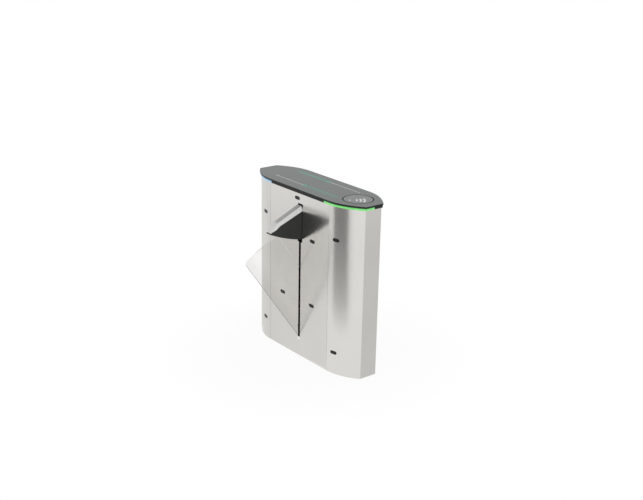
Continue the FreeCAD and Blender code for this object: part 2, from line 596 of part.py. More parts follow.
# Tie bolts and spacers hold the far cheek off the inner leaf, above the outer leaf's path
TIES = [(across, f"{RAIL_U} - rail_fall - rail_nose - 2 * spacer_radius") for across in
        ("rail_end - spacer_radius", f"({LEAF_DEPTH} + rail_end) / 2", f"{LEAF_DEPTH} - 3 * spacer_radius")]
FAR_X = "(wing_x - pod_width / 2)"
FAR_THICK = "(pod_width / 2 - leaf_gap * 1.5 - leaf_thick)"
NEAR_THICK = "(pod_width / 2 - leaf_gap / 2 - leaf_thick)"
TIE_LENGTH = "(pod_width - tie_cover)"
tie_tools = []
tie_bolts = []
spacers = []
for index, spot in enumerate(TIES):
    y, z = on_leaf(spot, "inner_tilt")
    tie_tools.append(cylinder(f"tie_hole_{index}", (FAR_X, y, z), "tie_radius + running_gap", TIE_LENGTH, "X"))
    tie_bolts.append(cylinder(f"tie_{index}", (FAR_X, y, z), "tie_radius", TIE_LENGTH, "X"))
    spacers.append(tube(f"spacer_{index}", (f"{FAR_X} + {FAR_THICK}", y, z), "spacer_radius",
                        "tie_radius + running_gap", "leaf_thick + 2 * leaf_gap", "X"))
tie_set = group("tie_tools", *tie_tools)
node(cut("inner_leaf_cut", inner_leaf_blank, drag_slot, *tie_tools), "inner_leaf")
node(group("tie_group", *tie_bolts), "tie_bolts")
node(group("spacer_group", *spacers), "pod_spacers")

# Pod cheeks: dark leaf-shaped mouldings on both sides, and the bright rail along their top
POD_LOW = (LEAF_DEPTH, f"sqrt({POD_REACH}^2 - {LEAF_DEPTH}^2)")
NOSE_TIP = ("-nose_reach", f"{RAIL_U} - nose_drop")
POD_BELLY = (f"{LEAF_DEPTH} * 0.4", f"sqrt({POD_REACH}^2 - {LEAF_DEPTH}^2) + pod_belly")
cheek_points = [RAIL_LOW, RAIL_STEP, NOSE_DIP, NOSE_TOP, NOSE_FOOT, POD_LOW]
cheek_arcs = {3: NOSE_TIP, 4: POD_BELLY}
far_cheek = plate("far_cheek", "YZ_Plane", cheek_points, FAR_THICK, cheek_arcs)
turned(far_cheek, (FAR_X, PIVOT_Y, "pivot_z"), "inner_tilt")
near_cheek = plate("near_cheek", "YZ_Plane", cheek_points, NEAR_THICK, cheek_arcs)
turned(near_cheek, (f"{INNER_FACE} + leaf_thick", PIVOT_Y, "pivot_z"), "inner_tilt")
node(cut("far_cheek_cut", far_cheek, tie_set), "pod_far_cheek")
node(cut("near_cheek_cut", near_cheek, tie_set), "pod_near_cheek")
RAIL_TIP = ("nose_round / 2 - nose_reach", f"{RAIL_U} - nose_drop + 2 * nose_round")
RAIL_BROW = ("(rail_end - nose_reach) / 2", f"{RAIL_U} - (rail_fall + nose_drop) / 2 + nose_round + rail_brow")
rail_points = [(LEAF_DEPTH, RAIL_U), ("rail_end", f"{RAIL_U} - rail_fall"), RAIL_TIP, NOSE_TOP, NOSE_DIP,
               RAIL_STEP, RAIL_LOW]
rail_arcs = {1: RAIL_BROW}
wing_rail = plate("rail_blank", "YZ_Plane", rail_points, "pod_width", rail_arcs)
node(turned(wing_rail, (FAR_X, PIVOT_Y, "pivot_z"), "inner_tilt"), "wing_rail")

# Inner hub, free on the shaft with a bronze bush
INNER_FLANGE_X = f"({INNER_FACE} + leaf_thick)"
inner_flange = cylinder("inner_flange", (INNER_FLANGE_X, PIVOT_Y, "pivot_z"),
                        "flange_radius", "flange_thick", "X")
inner_boss = cylinder("inner_boss", (f"{INNER_FLANGE_X} + flange_thick", PIVOT_Y, "pivot_z"),
                      "boss_radius", "boss_length", "X")
inner_bore = cylinder("inner_bore", (INNER_FLANGE_X, PIVOT_Y, "pivot_z"),
                      "shaft_radius + bush_wall + running_gap", "flange_thick + boss_length", "X")
inner_hub_solid = fuse("inner_hub_solid", inner_flange, inner_boss)
inner_holes = hub_holes("inner", INNER_FLANGE_X, "inner_tilt")
node(cut("inner_hub_cut", inner_hub_solid, inner_bore, *inner_holes), "inner_hub")
node(tube("bush", (INNER_FLANGE_X, PIVOT_Y, "pivot_z"), "shaft_radius + bush_wall", SHAFT_BORE,
          "flange_thick + boss_length", "X"), "inner_bush")
node(screw_set("inner", INNER_FACE, f"({INNER_FLANGE_X} + flange_thick)", "inner_tilt"), "inner_hub_screws")

# Drive: rocker on the wing shaft, crank on the gearbox, and the rod that joins them
PIN_Y = "-crank_length * sin(half_stroke)"
PIN_Z = "pivot_z + crank_length * cos(half_stroke)"
PIN_LENGTH = "2 * arm_thick + side_gap"
for name, centre_y, bore in (("rocker", PIVOT_Y, "shaft_radius"), ("crank", DRIVE_Y, "output_radius")):
    arm = stadium(f"{name}_bar", "crank_length", "arm_eye", "arm_thick",
                  [(("0", "0"), f"{bore} + running_gap")])
    turned(arm, (ROCKER_X, centre_y, "pivot_z"), "half_stroke")
    pin = cylinder(f"{name}_pin", (ROCKER_X, f"{centre_y} + {PIN_Y}", PIN_Z), "rod_pin_radius", PIN_LENGTH, "X")
    node(fuse(f"{name}_with_pin", arm, pin), f"{name}_arm")
rod_points = [("-drive_span", "-rod_eye"), ("0", "-rod_eye"), ("0", "rod_eye"), ("-drive_span", "rod_eye")]
rod = plate("rod_bar", "YZ_Plane", rod_points, "arm_thick",
            {1: ("rod_eye", "0"), 3: ("-drive_span - rod_eye", "0")},
            [(("0", "0"), "rod_pin_radius + running_gap"), (("-drive_span", "0"), "rod_pin_radius + rod_gap")])
place(rod, (ROD_X, f"{DRIVE_Y} + {PIN_Y}", PIN_Z))
node(rod, "connecting_rod")

# Worm gearbox with its upright motor, on a folded stand
OUTPUT_DEPTH = "(gearbox_width / 3)"
GEARBOX_END = f"({GEARBOX_X} + gearbox_width)"
gearbox_block = box("gearbox_block", (GEARBOX_X, f"{DRIVE_Y} - gearbox_side / 2", "pivot_z - gearbox_side / 2"),
                    ("gearbox_width", "gearbox_side", "gearbox_side"))
gearbox_bore = cylinder("gearbox_bore", (f"{GEARBOX_END} - {OUTPUT_DEPTH}", DRIVE_Y, "pivot_z"),
                        "output_radius + running_gap", OUTPUT_DEPTH, "X")
node(cut("gearbox_cut", gearbox_block, gearbox_bore), "gearbox")
node(cylinder("output", (f"{GEARBOX_END} - {OUTPUT_DEPTH}", DRIVE_Y, "pivot_z"), "output_radius",
              f"{OUTPUT_DEPTH} + side_gap + arm_thick", "X"), "output_shaft")
MOTOR_X = f"({GEARBOX_X} + gearbox_width / 2)"
node(cylinder("motor", (MOTOR_X, DRIVE_Y, "pivot_z + gearbox_side / 2"), "motor_radius", "motor_length", "Z"),
     "drive_motor")
node(cylinder("encoder", (MOTOR_X, DRIVE_Y, "pivot_z + gearbox_side / 2 + motor_length"),
              "motor_radius * 0.8", "encoder_length", "Z"), "motor_encoder")
STAND_TOP = "(pivot_z - gearbox_side / 2)"
stand_points = [("0", "base_thick"), ("stand_sheet", "base_thick"),
                ("stand_sheet", f"{STAND_TOP} - stand_sheet"),
                ("gearbox_width - stand_sheet", f"{STAND_TOP} - stand_sheet"),
                ("gearbox_width - stand_sheet", "base_thick"), ("gearbox_width", "base_thick"),
                ("gearbox_width", STAND_TOP), ("0", STAND_TOP)]
gearbox_stand = plate("gearbox_fold", "XZ_Plane", stand_points, "gearbox_side")
place(gearbox_stand, (GEARBOX_X, f"{DRIVE_Y} + gearbox_side / 2", "0"))
node(gearbox_stand, "gearbox_stand")

# Lid: base, glossy top with a round reader window, and the light band under its edge
node(plan_solid("lid_base_blank", "lid_overhang", "lid_base_thick", LID_BASE_Z), "lid_base")
glass_blank = plan_solid("lid_glass_blank", "lid_overhang", "lid_glass_thick", LID_GLASS_Z)
soften(glass_blank, "Chamfer", (0, 0, 1), "lid_chamfer")
READER_X = "(body_length / 2 - reader_inset)"
reader_hole = cylinder("reader_hole", (READER_X, "0", LID_GLASS_Z), "reader_radius", "lid_glass_thick", "Z")
node(cut("lid_glass_cut", glass_blank, reader_hole), "lid_glass")
node(cylinder("reader_disc", (READER_X, "0", LID_GLASS_Z), "reader_radius - reader_gap",
              "lid_glass_thick", "Z"), "reader_window")
node(box("reader_case",
         (f"{READER_X} - reader_module / 2", "-reader_module / 2", f"{LID_BASE_Z} - reader_module_depth"),
         ("reader_module", "reader_module", "reader_module_depth")), "reader_module")
INDICATOR_HALF = f"({SEAM} - indicator_margin)"
node(box("indicator", (f"-{INDICATOR_HALF}", "-indicator_width / 2", f"{LID_BASE_Z} - indicator_depth"),
         (f"2 * {INDICATOR_HALF}", "indicator_width", "indicator_depth")), "indicator_board")

LID_AXIS_Y = f"({BACK} + lid_overhang - barrel_radius)"
LID_AXIS_Z = "(body_height + barrel_radius + seam_gap)"
LID_HINGE_X = f"({SEAM} - lid_hinge_inset)"
band_outer = plan_solid("band_outer", "lid_overhang - band_recess", "band_height", "body_height")
band_inner = plan_solid("band_inner", "-band_inset", "band_height", "body_height")
notches = []
for along in (-1, 1):
    spot = (f"{along} * {LID_HINGE_X} - lid_hinge_half - notch_gap", f"{BACK} - 2 * band_inset", "body_height")
    notches.append(box(f"notch_{len(notches)}", spot,
                       ("2 * (lid_hinge_half + notch_gap)", "2 * band_inset + lid_overhang", "band_height")))
band_ring = cut("band_ring", band_outer, band_inner, *notches)
BAND_END = "(body_length / 2 + lid_overhang)"
GREEN_START = f"({SEAM} - green_lead)"
BLUE_START = f"({SEAM} - blue_lead)"
green_zone = box("green_zone", (GREEN_START, f"{FRONT} - lid_overhang", "body_height"),
                 (f"{BAND_END} - {GREEN_START}", "body_width / 2 + lid_overhang", "band_height"))
blue_zone = box("blue_zone", (f"-{BAND_END}", f"{FRONT} - lid_overhang", "body_height"),
                (f"{BAND_END} - {BLUE_START}", "body_width / 2 + lid_overhang", "band_height"))
node(common("green_bar", band_ring, green_zone), "green_light_bar")
node(common("blue_bar", band_ring, blue_zone), "blue_light_bar")
node(cut("dark_band", band_ring, green_zone, blue_zone), "light_band")


# Barrel hinges: two fixed knuckles with one moving knuckle between them
def knuckles(name, foot, third, axis, which):
    """The barrel pieces of one leaf, bored for the pin; foot is the barrel's low end."""
    pieces = []
    for step in ((0, 2) if which == "fixed" else (1,)):
        trim = "0" if which == "fixed" else "knuckle_gap"
        start = [f"{place_on}" for place_on in foot]
        along = "XYZ".index(axis)
        start[along] = f"{foot[along]} + {step} * {third} + {trim}"
        pieces.append(tube(f"{name}_{step}", start, "barrel_radius", "pin_radius + running_gap",
                           f"{third} - 2 * {trim}", axis))
    return pieces


lid_fixed, lid_moving, lid_pins = [], [], []
LID_THIRD = "(2 * lid_hinge_half / 3)"
for along, tag in ((-1, "left"), (1, "right")):
    start_x = f"({along} * {LID_HINGE_X} - lid_hinge_half)"
    foot = (start_x, LID_AXIS_Y, LID_AXIS_Z)
    fixed_leaf = box(f"lid_fixed_leaf_{tag}", (start_x, POST_Y, RAIL_TOP),
                     ("2 * lid_hinge_half", f"{LID_AXIS_Y} + lid_web / 2 - {POST_Y}", "rail_drop"))
    webs = []
    for step in (0, 2):
        webs.append(box(f"lid_fixed_web_{tag}_{step}",
                        (f"{start_x} + {step} * {LID_THIRD}", f"{LID_AXIS_Y} - lid_web / 2", "body_height"),
                        (LID_THIRD, "lid_web", "barrel_radius + seam_gap - pin_radius - running_gap")))
    lid_fixed.append(fuse(f"lid_fixed_{tag}", fixed_leaf, *webs,
                          *knuckles(f"lid_fixed_knuckle_{tag}", foot, LID_THIRD, "X", "fixed")))
    moving_x = f"{start_x} + {LID_THIRD} + knuckle_gap"
    moving_web = box(f"lid_moving_web_{tag}",
                     (moving_x, f"{LID_AXIS_Y} - lid_web / 2", f"{LID_AXIS_Z} + pin_radius + running_gap"),
                     (f"{LID_THIRD} - 2 * knuckle_gap", "lid_web",
                      f"{LID_BASE_Z} - {LID_AXIS_Z} - pin_radius - running_gap"))
    moving_leaf = box(f"lid_moving_leaf_{tag}",
                      (start_x, f"{BACK} - 2 * band_inset + notch_gap", f"{LID_BASE_Z} - lid_leaf"),
                      ("2 * lid_hinge_half", "2 * band_inset + lid_overhang - notch_gap - seam_gap",
                       "lid_leaf"))
    lid_moving.append(fuse(f"lid_moving_{tag}", moving_leaf, moving_web,
                           *knuckles(f"lid_moving_knuckle_{tag}", foot, LID_THIRD, "X", "moving")))
    lid_pins.append(cylinder(f"lid_pin_{tag}", foot, "pin_radius", "2 * lid_hinge_half", "X"))
node(group("lid_hinge_fixed_pair", *lid_fixed), "lid_hinge_fixed")
node(group("lid_hinge_moving_pair", *lid_moving), "lid_hinge_moving")
node(group("lid_hinge_pin_pair", *lid_pins), "lid_hinge_pins")

# Rear service door with two stiffeners and a cam lock
door_blank = box("door_blank", (f"seam_gap / 2 - {SEAM}", f"{BACK} - sheet", "door_gap"),
                 (f"2 * {SEAM} - seam_gap", "sheet", "body_height - 2 * door_gap"))
LOCK_X = f"({SEAM} - lock_inset)"
LOCK_END = f"({BACK} - lock_depth)"
lock_hole = cylinder("lock_hole", (LOCK_X, LOCK_END, "lock_z"), "lock_radius + running_gap", "lock_depth", "Y")
node(cut("door_cut", door_blank, lock_hole), "rear_door")
stiffeners = []
for along in (-1, 1):
    spot = (f"{along} * ({SEAM} - stiffener_inset) - stiffener_width / 2",
            f"{BACK} - sheet - stiffener_depth", "2 * stiffener_width")
    stiffeners.append(box(f"stiffener_{len(stiffeners)}", spot,
                          ("stiffener_width", "stiffener_depth", "body_height - 4 * stiffener_width")))
node(group("stiffener_pair", *stiffeners), "door_stiffeners")
lock_flange = cylinder("lock_rim", (LOCK_X, BACK, "lock_z"), "lock_flange", "lock_proud", "Y")
lock_sleeve = cylinder("lock_sleeve", (LOCK_X, LOCK_END, "lock_z"), "lock_radius", "lock_depth", "Y")
lock_bore = cylinder("lock_bore", (LOCK_X, LOCK_END, "lock_z"), "plug_radius + running_gap",
                     "lock_depth + lock_proud", "Y")
node(cut("lock_cut", fuse("lock_solid", lock_flange, lock_sleeve), lock_bore), "lock_barrel")
lock_core = cylinder("lock_core", (LOCK_X, f"{LOCK_END} - cam_thick", "lock_z"), "plug_radius",
                     "lock_depth + lock_proud + cam_thick", "Y")
lock_cam = box("lock_cam", (f"{LOCK_X} - cam_half", f"{LOCK_END} - cam_thick", "lock_z - cam_half"),
               ("2 * cam_half", "cam_thick", "cam_length + cam_half"))
node(fuse("lock_turning", lock_core, lock_cam), "lock_plug")

door_fixed, door_moving, door_pins = [], [], []
DOOR_THIRD = "(2 * door_hinge_half / 3)"
DOOR_AXIS_Y = f"({BACK} + door_barrel_clear + barrel_radius)"
for tag, middle_z in (("low", "door_hinge_z"), ("high", "(body_height - door_hinge_z)")):
    start_z = f"({middle_z} - door_hinge_half)"
    foot = (f"-{SEAM}", DOOR_AXIS_Y, start_z)
    fixed_leaf = box(f"door_fixed_leaf_{tag}", (f"-{SEAM} - leaf_notch - door_leaf_width", BACK, start_z),
                     ("door_leaf_width", "door_leaf", "2 * door_hinge_half"))
    tabs = []
    for step in (0, 2):
        tabs.append(box(f"door_fixed_tab_{tag}_{step}",
                        (f"-{SEAM} - leaf_notch", BACK, f"{start_z} + {step} * {DOOR_THIRD}"),
                        ("leaf_notch", "door_leaf", DOOR_THIRD)))
    door_fixed.append(fuse(f"door_fixed_{tag}", fixed_leaf, *tabs,
                           *knuckles(f"door_fixed_knuckle_{tag}", foot, DOOR_THIRD, "Z", "fixed")))
    moving_leaf = box(f"door_moving_leaf_{tag}", (f"leaf_notch - {SEAM}", BACK, start_z),
                      ("door_leaf_width", "door_leaf", "2 * door_hinge_half"))
    moving_tab = box(f"door_moving_tab_{tag}", (f"-{SEAM}", BACK, f"{start_z} + {DOOR_THIRD} + knuckle_gap"),
                     ("leaf_notch", "door_leaf", f"{DOOR_THIRD} - 2 * knuckle_gap"))
    door_moving.append(fuse(f"door_moving_{tag}", moving_leaf, moving_tab,
                            *knuckles(f"door_moving_knuckle_{tag}", foot, DOOR_THIRD, "Z", "moving")))
    door_pins.append(cylinder(f"door_pin_{tag}", foot, "pin_radius", "2 * door_hinge_half", "Z"))
node(group("door_hinge_fixed_pair", *door_fixed), "door_hinge_fixed")
node(group("door_hinge_moving_pair", *door_moving), "door_hinge_moving")
node(group("door_hinge_pin_pair", *door_pins), "door_hinge_pins")

# Check every object, then write one file for each sub-part
document.recompute()
for item in document.Objects:
    if "Invalid" in item.State or "Error" in item.State:
        raise ValueError(f"{item.Name} failed: {item.State}")
os.makedirs("parts", exist_ok=True)
for item in nodes:
    if item.Shape.isNull() or not item.Shape.isValid() or not item.Shape.Solids:
        raise ValueError(f"{item.Label} has no valid solid")
for item in nodes:
    item.Shape.exportStep(f"parts/{item.Label}.step")
print(f"{len(nodes)} sub-parts written")
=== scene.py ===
import bmesh
import bpy
import math
from mathutils import Matrix, Vector


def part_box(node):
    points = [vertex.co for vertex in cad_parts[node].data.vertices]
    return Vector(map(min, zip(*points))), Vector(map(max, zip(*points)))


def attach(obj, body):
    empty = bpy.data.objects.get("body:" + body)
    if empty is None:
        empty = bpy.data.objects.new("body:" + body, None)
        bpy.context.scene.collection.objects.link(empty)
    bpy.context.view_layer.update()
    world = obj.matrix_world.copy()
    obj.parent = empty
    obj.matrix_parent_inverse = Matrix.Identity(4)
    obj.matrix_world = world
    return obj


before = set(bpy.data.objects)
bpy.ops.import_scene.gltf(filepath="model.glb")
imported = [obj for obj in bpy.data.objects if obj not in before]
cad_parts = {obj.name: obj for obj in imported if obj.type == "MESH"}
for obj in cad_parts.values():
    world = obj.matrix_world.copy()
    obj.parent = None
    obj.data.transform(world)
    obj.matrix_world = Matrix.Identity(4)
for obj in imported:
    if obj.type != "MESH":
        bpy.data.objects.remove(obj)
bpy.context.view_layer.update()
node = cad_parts

# Camera: a long lens above the reader end of the passage side, looking down along the front face
# as a catalogue picture of a gate is taken. Distances are metres from the floor centre.
image_width = 643
sensor_width = 36
focal_pixels = 1049.9
view_turn = math.radians(51.15)
view_rise = math.radians(19.45)
view_roll = math.radians(1.07)
view_distance = 6.130
view_side = 0.0241
view_height = 0.6289
backward = Vector((math.sin(view_turn) * math.cos(view_rise),
                   -math.cos(view_turn) * math.cos(view_rise),
                   math.sin(view_rise)))
level_right = (-backward).cross(Vector((0, 0, 1))).normalized()
level_up = level_right.cross(-backward)
picture_right = math.cos(view_roll) * level_right + math.sin(view_roll) * level_up
picture_up = math.cos(view_roll) * level_up - math.sin(view_roll) * level_right
camera_data = bpy.data.cameras.new("picture_camera")
camera_data.sensor_width = sensor_width
camera_data.lens = sensor_width * focal_pixels / image_width
camera_data.clip_end = 60
camera = bpy.data.objects.new("picture_camera", camera_data)
bpy.context.scene.collection.objects.link(camera)
camera.matrix_world = Matrix((
    (picture_right.x, picture_up.x, backward.x, 0),
    (picture_right.y, picture_up.y, backward.y, 0),
    (picture_right.z, picture_up.z, backward.z, 0),
    (0, 0, 0, 1),
))
camera.location = level_right * view_side + Vector((0, 0, view_height)) + backward * view_distance
bpy.context.scene.camera = camera
bpy.context.scene.view_settings.view_transform = "Standard"


# Studio floor: a white sweep of paper that the cabinet stands on, bright enough to vanish into the
# background, with only a breath of shadow where the base meets it.
def piece_from_mesh(name, mesh):
    """Put a mesh into the scene as an object of the same name."""
    piece = bpy.data.objects.new(name, mesh)
    bpy.context.scene.collection.objects.link(piece)
    return piece


def blank_material(name):
    """An empty node material, with its tree and an output ready to be joined."""
    material = bpy.data.materials.new(name)
    material.use_nodes = True
    tree = material.node_tree
    tree.nodes.clear()
    output = tree.nodes.new("ShaderNodeOutputMaterial")
    return material, tree, output


def add_node(tree, kind, sockets, **settings):
    """A node with its settings made and its sockets joined to other nodes or given plain values."""
    item = tree.nodes.new(kind)
    for setting, value in settings.items():
        setattr(item, setting, value)
    for socket, value in sockets.items():
        if isinstance(value, bpy.types.NodeSocket):
            tree.links.new(value, item.inputs[socket])
        else:
            item.inputs[socket].default_value = value
    return item


def sums(tree, operation, first, second=0.0, third=0.0):
    """One step of arithmetic in a material; gives the socket with the result."""
    return add_node(tree, "ShaderNodeMath", {0: first, 1: second, 2: third}, operation=operation).outputs[0]


def vector_sums(tree, operation, first, second=(0, 0, 0)):
    """One step of vector arithmetic in a material; gives the socket with the result."""
    results = add_node(tree, "ShaderNodeVectorMath", {0: first, 1: second}, operation=operation).outputs
    return results["Value"] if operation in ("LENGTH", "DOT_PRODUCT") else results["Vector"]


def ranged(tree, value, low, high, to_low=0.0, to_high=1.0, smooth=False):
    """A value carried from one range to another, evenly or with soft ends; gives the socket."""
    return add_node(tree, "ShaderNodeMapRange",
                    {"Value": value, "From Min": low, "From Max": high, "To Min": to_low, "To Max": to_high},
                    interpolation_type="SMOOTHSTEP" if smooth else "LINEAR").outputs["Result"]


def object_place(tree):
    """The socket that says where on the object a point of the surface lies."""
    return tree.nodes.new("ShaderNodeTexCoord").outputs["Object"]


paper_half = 14
paper_sink = 0.0004
paper_mesh = bpy.data.meshes.new("paper_sweep")
paper_mesh.from_pydata(
    [(-paper_half, -paper_half, 0), (paper_half, -paper_half, 0),
     (paper_half, paper_half, 0), (-paper_half, paper_half, 0)], [], [(0, 1, 2, 3)])
paper = piece_from_mesh("paper_sweep", paper_mesh)
paper.location.z = -paper_sink
paper_white, tree, output = blank_material("white_paper")
paper_path = tree.nodes.new("ShaderNodeLightPath").outputs
paper_seen = sums(tree, "MAXIMUM", paper_path["Is Camera Ray"], paper_path["Is Transmission Ray"])
paper_seen = sums(tree, "MAXIMUM", paper_seen, paper_path["Is Glossy Ray"])
paper_reach = vector_sums(tree, "LENGTH", object_place(tree))
shadow_near = 0.5
shadow_far = 1.0
shadow_glow = 0.93
paper_share = sums(tree, "MULTIPLY", paper_seen,
                   ranged(tree, paper_reach, shadow_near, shadow_far, shadow_glow, 1.0))
paper_lit = add_node(tree, "ShaderNodeBsdfDiffuse", {"Color": (0.95, 0.95, 0.95, 1)})
paper_glow = add_node(tree, "ShaderNodeEmission", {"Color": (1, 1, 1, 1)})
paper_mix = add_node(tree, "ShaderNodeMixShader",
                     {"Fac": paper_share, 1: paper_lit.outputs[0], 2: paper_glow.outputs[0]})
tree.links.new(paper_mix.outputs[0], output.inputs["Surface"])
paper_mesh.materials.append(paper_white)


# Studio light: a white tent all round that falls off towards its top, so that faces which look up
# come out a little darker than the upright ones.
def axes(tree, place):
    """The X, Y and Z of a place, as sockets of those names."""
    return add_node(tree, "ShaderNodeSeparateXYZ", {0: place}).outputs


world = bpy.data.worlds.new("light_tent")
bpy.context.scene.world = world
world.use_nodes = True
tree = world.node_tree
tree.nodes.clear()
output = tree.nodes.new("ShaderNodeOutputWorld")
tent_place = tree.nodes.new("ShaderNodeTexCoord").outputs["Generated"]
tent_low = 0.1
tent_high = 0.9
tent_top_level = 0.45
tent_fall = ranged(tree, axes(tree, tent_place)["Z"], tent_low, tent_high, 1.0, tent_top_level, smooth=True)
tent_seen = tree.nodes.new("ShaderNodeLightPath").outputs["Is Camera Ray"]
tent_level = add_node(tree, "ShaderNodeMix", {"Factor": tent_seen, "A": tent_fall, "B": 1.0},
                      data_type="FLOAT").outputs["Result"]
tent_glow = add_node(tree, "ShaderNodeBackground", {"Color": (1, 1, 1, 1), "Strength": tent_level})
tree.links.new(tent_glow.outputs[0], output.inputs["Surface"])
soft_box = bpy.data.lights.new("soft_box", "AREA")
soft_box.size = 2.5
soft_box.energy = 40
soft_lamp = bpy.data.objects.new("soft_box", soft_box)
bpy.context.scene.collection.objects.link(soft_lamp)
lamp_place = Vector((3.9, -1.7, 2.2))
lamp_aim = Vector((0, -0.2, 0.7))
soft_lamp.location = lamp_place
soft_lamp.rotation_euler = (lamp_place - lamp_aim).to_track_quat("Z", "Y").to_euler()
soft_lamp.visible_glossy = False

# Studio flags: sheets of grey paper on the floor, out of the picture, that the steel reflects. The dark
# one makes the soft upright streak on the near shell, the fringe under it blurs the edges of the streak,
# and the paler ones tone the front and both ends.
deepest_flag = 6
flag_lift = 0.0006
fringe_lift = 0.0003


def lay_flag(name, corners, greys, lift=flag_lift):
    """A sheet on the floor that only reflections show; greys gives (depth along -Y, level) pairs."""
    mesh = bpy.data.meshes.new(name)
    mesh.from_pydata([(x, y, lift) for x, y in corners], [], [tuple(range(len(corners)))])
    flag = piece_from_mesh(name, mesh)
    flag.visible_camera = False
    flag.visible_diffuse = False
    flag.visible_shadow = False
    material, tree, output = blank_material(name)
    depth = axes(tree, object_place(tree))["Y"]
    grey = add_node(tree, "ShaderNodeValToRGB", {"Fac": sums(tree, "DIVIDE", depth, -deepest_flag)})
    stops = grey.color_ramp.elements
    for index, (flag_depth, level) in enumerate(greys):
        position = flag_depth / deepest_flag
        stop = stops[0] if index == 0 else stops.new(position)
        stop.position = position
        stop.color = (level, level, level, 1)
    stops.remove(stops[-1])
    glow = add_node(tree, "ShaderNodeEmission", {"Color": grey.outputs["Color"]})
    tree.links.new(glow.outputs[0], output.inputs["Surface"])
    mesh.materials.append(material)


lay_flag("dark_flag", [(0.52, -0.78), (0.68, -6), (-3.7, -6), (-0.03, -0.78)],
         [(0.8, 0.9), (1.2, 0.56), (1.6, 0.44), (2.1, 0.36), (2.7, 0.22), (5.0, 0.2)])
lay_flag("fringe_flag", [(0.62, -0.78), (1.3, -6), (-5.6, -6), (-0.38, -0.78)],
         [(0.8, 0.97), (1.2, 0.86), (5.0, 0.82)], fringe_lift)
lay_flag("end_flag", [(0.485, -0.05), (4.6, 0.7), (3.0, 3.9), (0.485, 0.8)], [(0.1, 0.73)])
lay_flag("front_flag",
         [(0.24, -0.16), (-0.4, -0.75), (-2.1, -2.6), (-4.5, -2.6), (-4.5, 0.1), (-0.46, -0.10)],
         [(0.15, 0.87), (0.7, 0.87), (0.92, 0.85), (1.2, 0.81), (1.45, 0.77), (1.62, 0.82), (1.74, 0.9),
          (1.9, 0.92)])
lay_flag("left_flag", [(-0.47, -0.09), (-0.9, -0.35), (-4.5, -0.6), (-4.5, 2.0), (-0.47, 0.0)],
         [(0.1, 0.81)])

# Base plate and inner frame: folded and welded mild steel under grey powder coat, with the fine
# orange-peel skin that the coat leaves. The stands for the bearings and the gearbox match it.
FLOAT = "NodeSocketFloat"
COLOUR = "NodeSocketColor"
VECTOR = "NodeSocketVector"
noise_low = 0.3
noise_high = 0.7


def effect_group(name, inputs, outputs):
    """A shader node group with named sockets; returns its tree and the sockets of its two ends."""
    group = bpy.data.node_groups.new(name, "ShaderNodeTree")
    for socket_name, kind, value in inputs:
        socket = group.interface.new_socket(socket_name, in_out="INPUT", socket_type=kind)
        socket.default_value = value
    for socket_name, kind in outputs:
        group.interface.new_socket(socket_name, in_out="OUTPUT", socket_type=kind)
    return group, group.nodes.new("NodeGroupInput").outputs, group.nodes.new("NodeGroupOutput").inputs


def noise(tree, place, scale, detail=2.0):
    """A cloudy pattern, mostly between the low and high noise values; gives the socket."""
    return add_node(tree, "ShaderNodeTexNoise",
                    {"Vector": place, "Scale": scale, "Detail": detail}).outputs["Fac"]


def placed(tree, group, sockets):
    """An effect group set into a material with its own values; gives its output sockets."""
    return add_node(tree, "ShaderNodeGroup", sockets, node_tree=group).outputs


def shaded(tree, tint, share, low, high):
    """A tint made lighter and darker by a noise pattern; gives the colour socket."""
    level = ranged(tree, share, noise_low, noise_high, low, high)
    return add_node(tree, "ShaderNodeVectorMath", {0: tint, "Scale": level}, operation="SCALE").outputs[0]


grained, enter, leave = effect_group(
    "moulded_grain",
    [("Tint", COLOUR, (0.3, 0.3, 0.3, 1)), ("Scale", FLOAT, 900.0), ("Roughness", FLOAT, 0.5),
     ("Spread", FLOAT, 0.1)],
    [("Color", COLOUR), ("Roughness", FLOAT), ("Height", FLOAT)])
spot = object_place(grained)
fine = noise(grained, spot, enter["Scale"])
broad = noise(grained, spot, 9.0, 3.0)
grained.links.new(shaded(grained, enter["Tint"], broad, 0.88, 1.12), leave["Color"])
uneven = sums(grained, "SUBTRACT", sums(grained, "ADD", fine, broad), 1.0)
rough = sums(grained, "MULTIPLY_ADD", uneven, enter["Spread"], enter["Roughness"])
grained.links.new(rough, leave["Roughness"])
grained.links.new(fine, leave["Height"])


def close_surface(tree, output, shader, height, relief, depth):
    """Join a height pattern to the shader as bump, and the shader to the material's output."""
    bump = add_node(tree, "ShaderNodeBump", {"Strength": relief, "Distance": depth, "Height": height})
    tree.links.new(bump.outputs["Normal"], shader.inputs["Normal"])
    tree.links.new(shader.outputs[0], output.inputs["Surface"])


grain_depth = 0.0004


def grained_finish(name, tint, scale, roughness, relief=0.1, coat=0.0, gloss=0.5):
    """Moulded plastic, rubber or paint with a fine even grain."""
    material, tree, output = blank_material(name)
    grain = placed(tree, grained, {"Tint": (*tint, 1), "Scale": scale, "Roughness": roughness})
    shader = add_node(tree, "ShaderNodeBsdfPrincipled",
                      {"Base Color": grain["Color"], "Roughness": grain["Roughness"],
                       "Coat Weight": coat, "Specular IOR Level": gloss})
    close_surface(tree, output, shader, grain["Height"], relief, grain_depth)
    return material


def dress(material, *names):
    """Give CAD pieces a finish."""
    for name in names:
        mesh = node[name].data
        mesh.materials.clear()
        mesh.materials.append(material)


powder_grey = grained_finish("powder_grey", (0.16, 0.165, 0.17), 700, 0.55)
dress(powder_grey, "base_plate", "frame_posts", "frame_rails", "equipment_plate", "door_stiffeners",
      "bearing_stands", "gearbox_stand")

# Cable grommet and stop buffers: black rubber mouldings, the grommet snapped into the base plate and
# the buffers glued beside the wing hub, where its lug lands at both ends of the travel.
black_rubber = grained_finish("black_rubber", (0.018, 0.018, 0.018), 1100, 0.75)
dress(black_rubber, "cable_grommet", "stop_buffers")

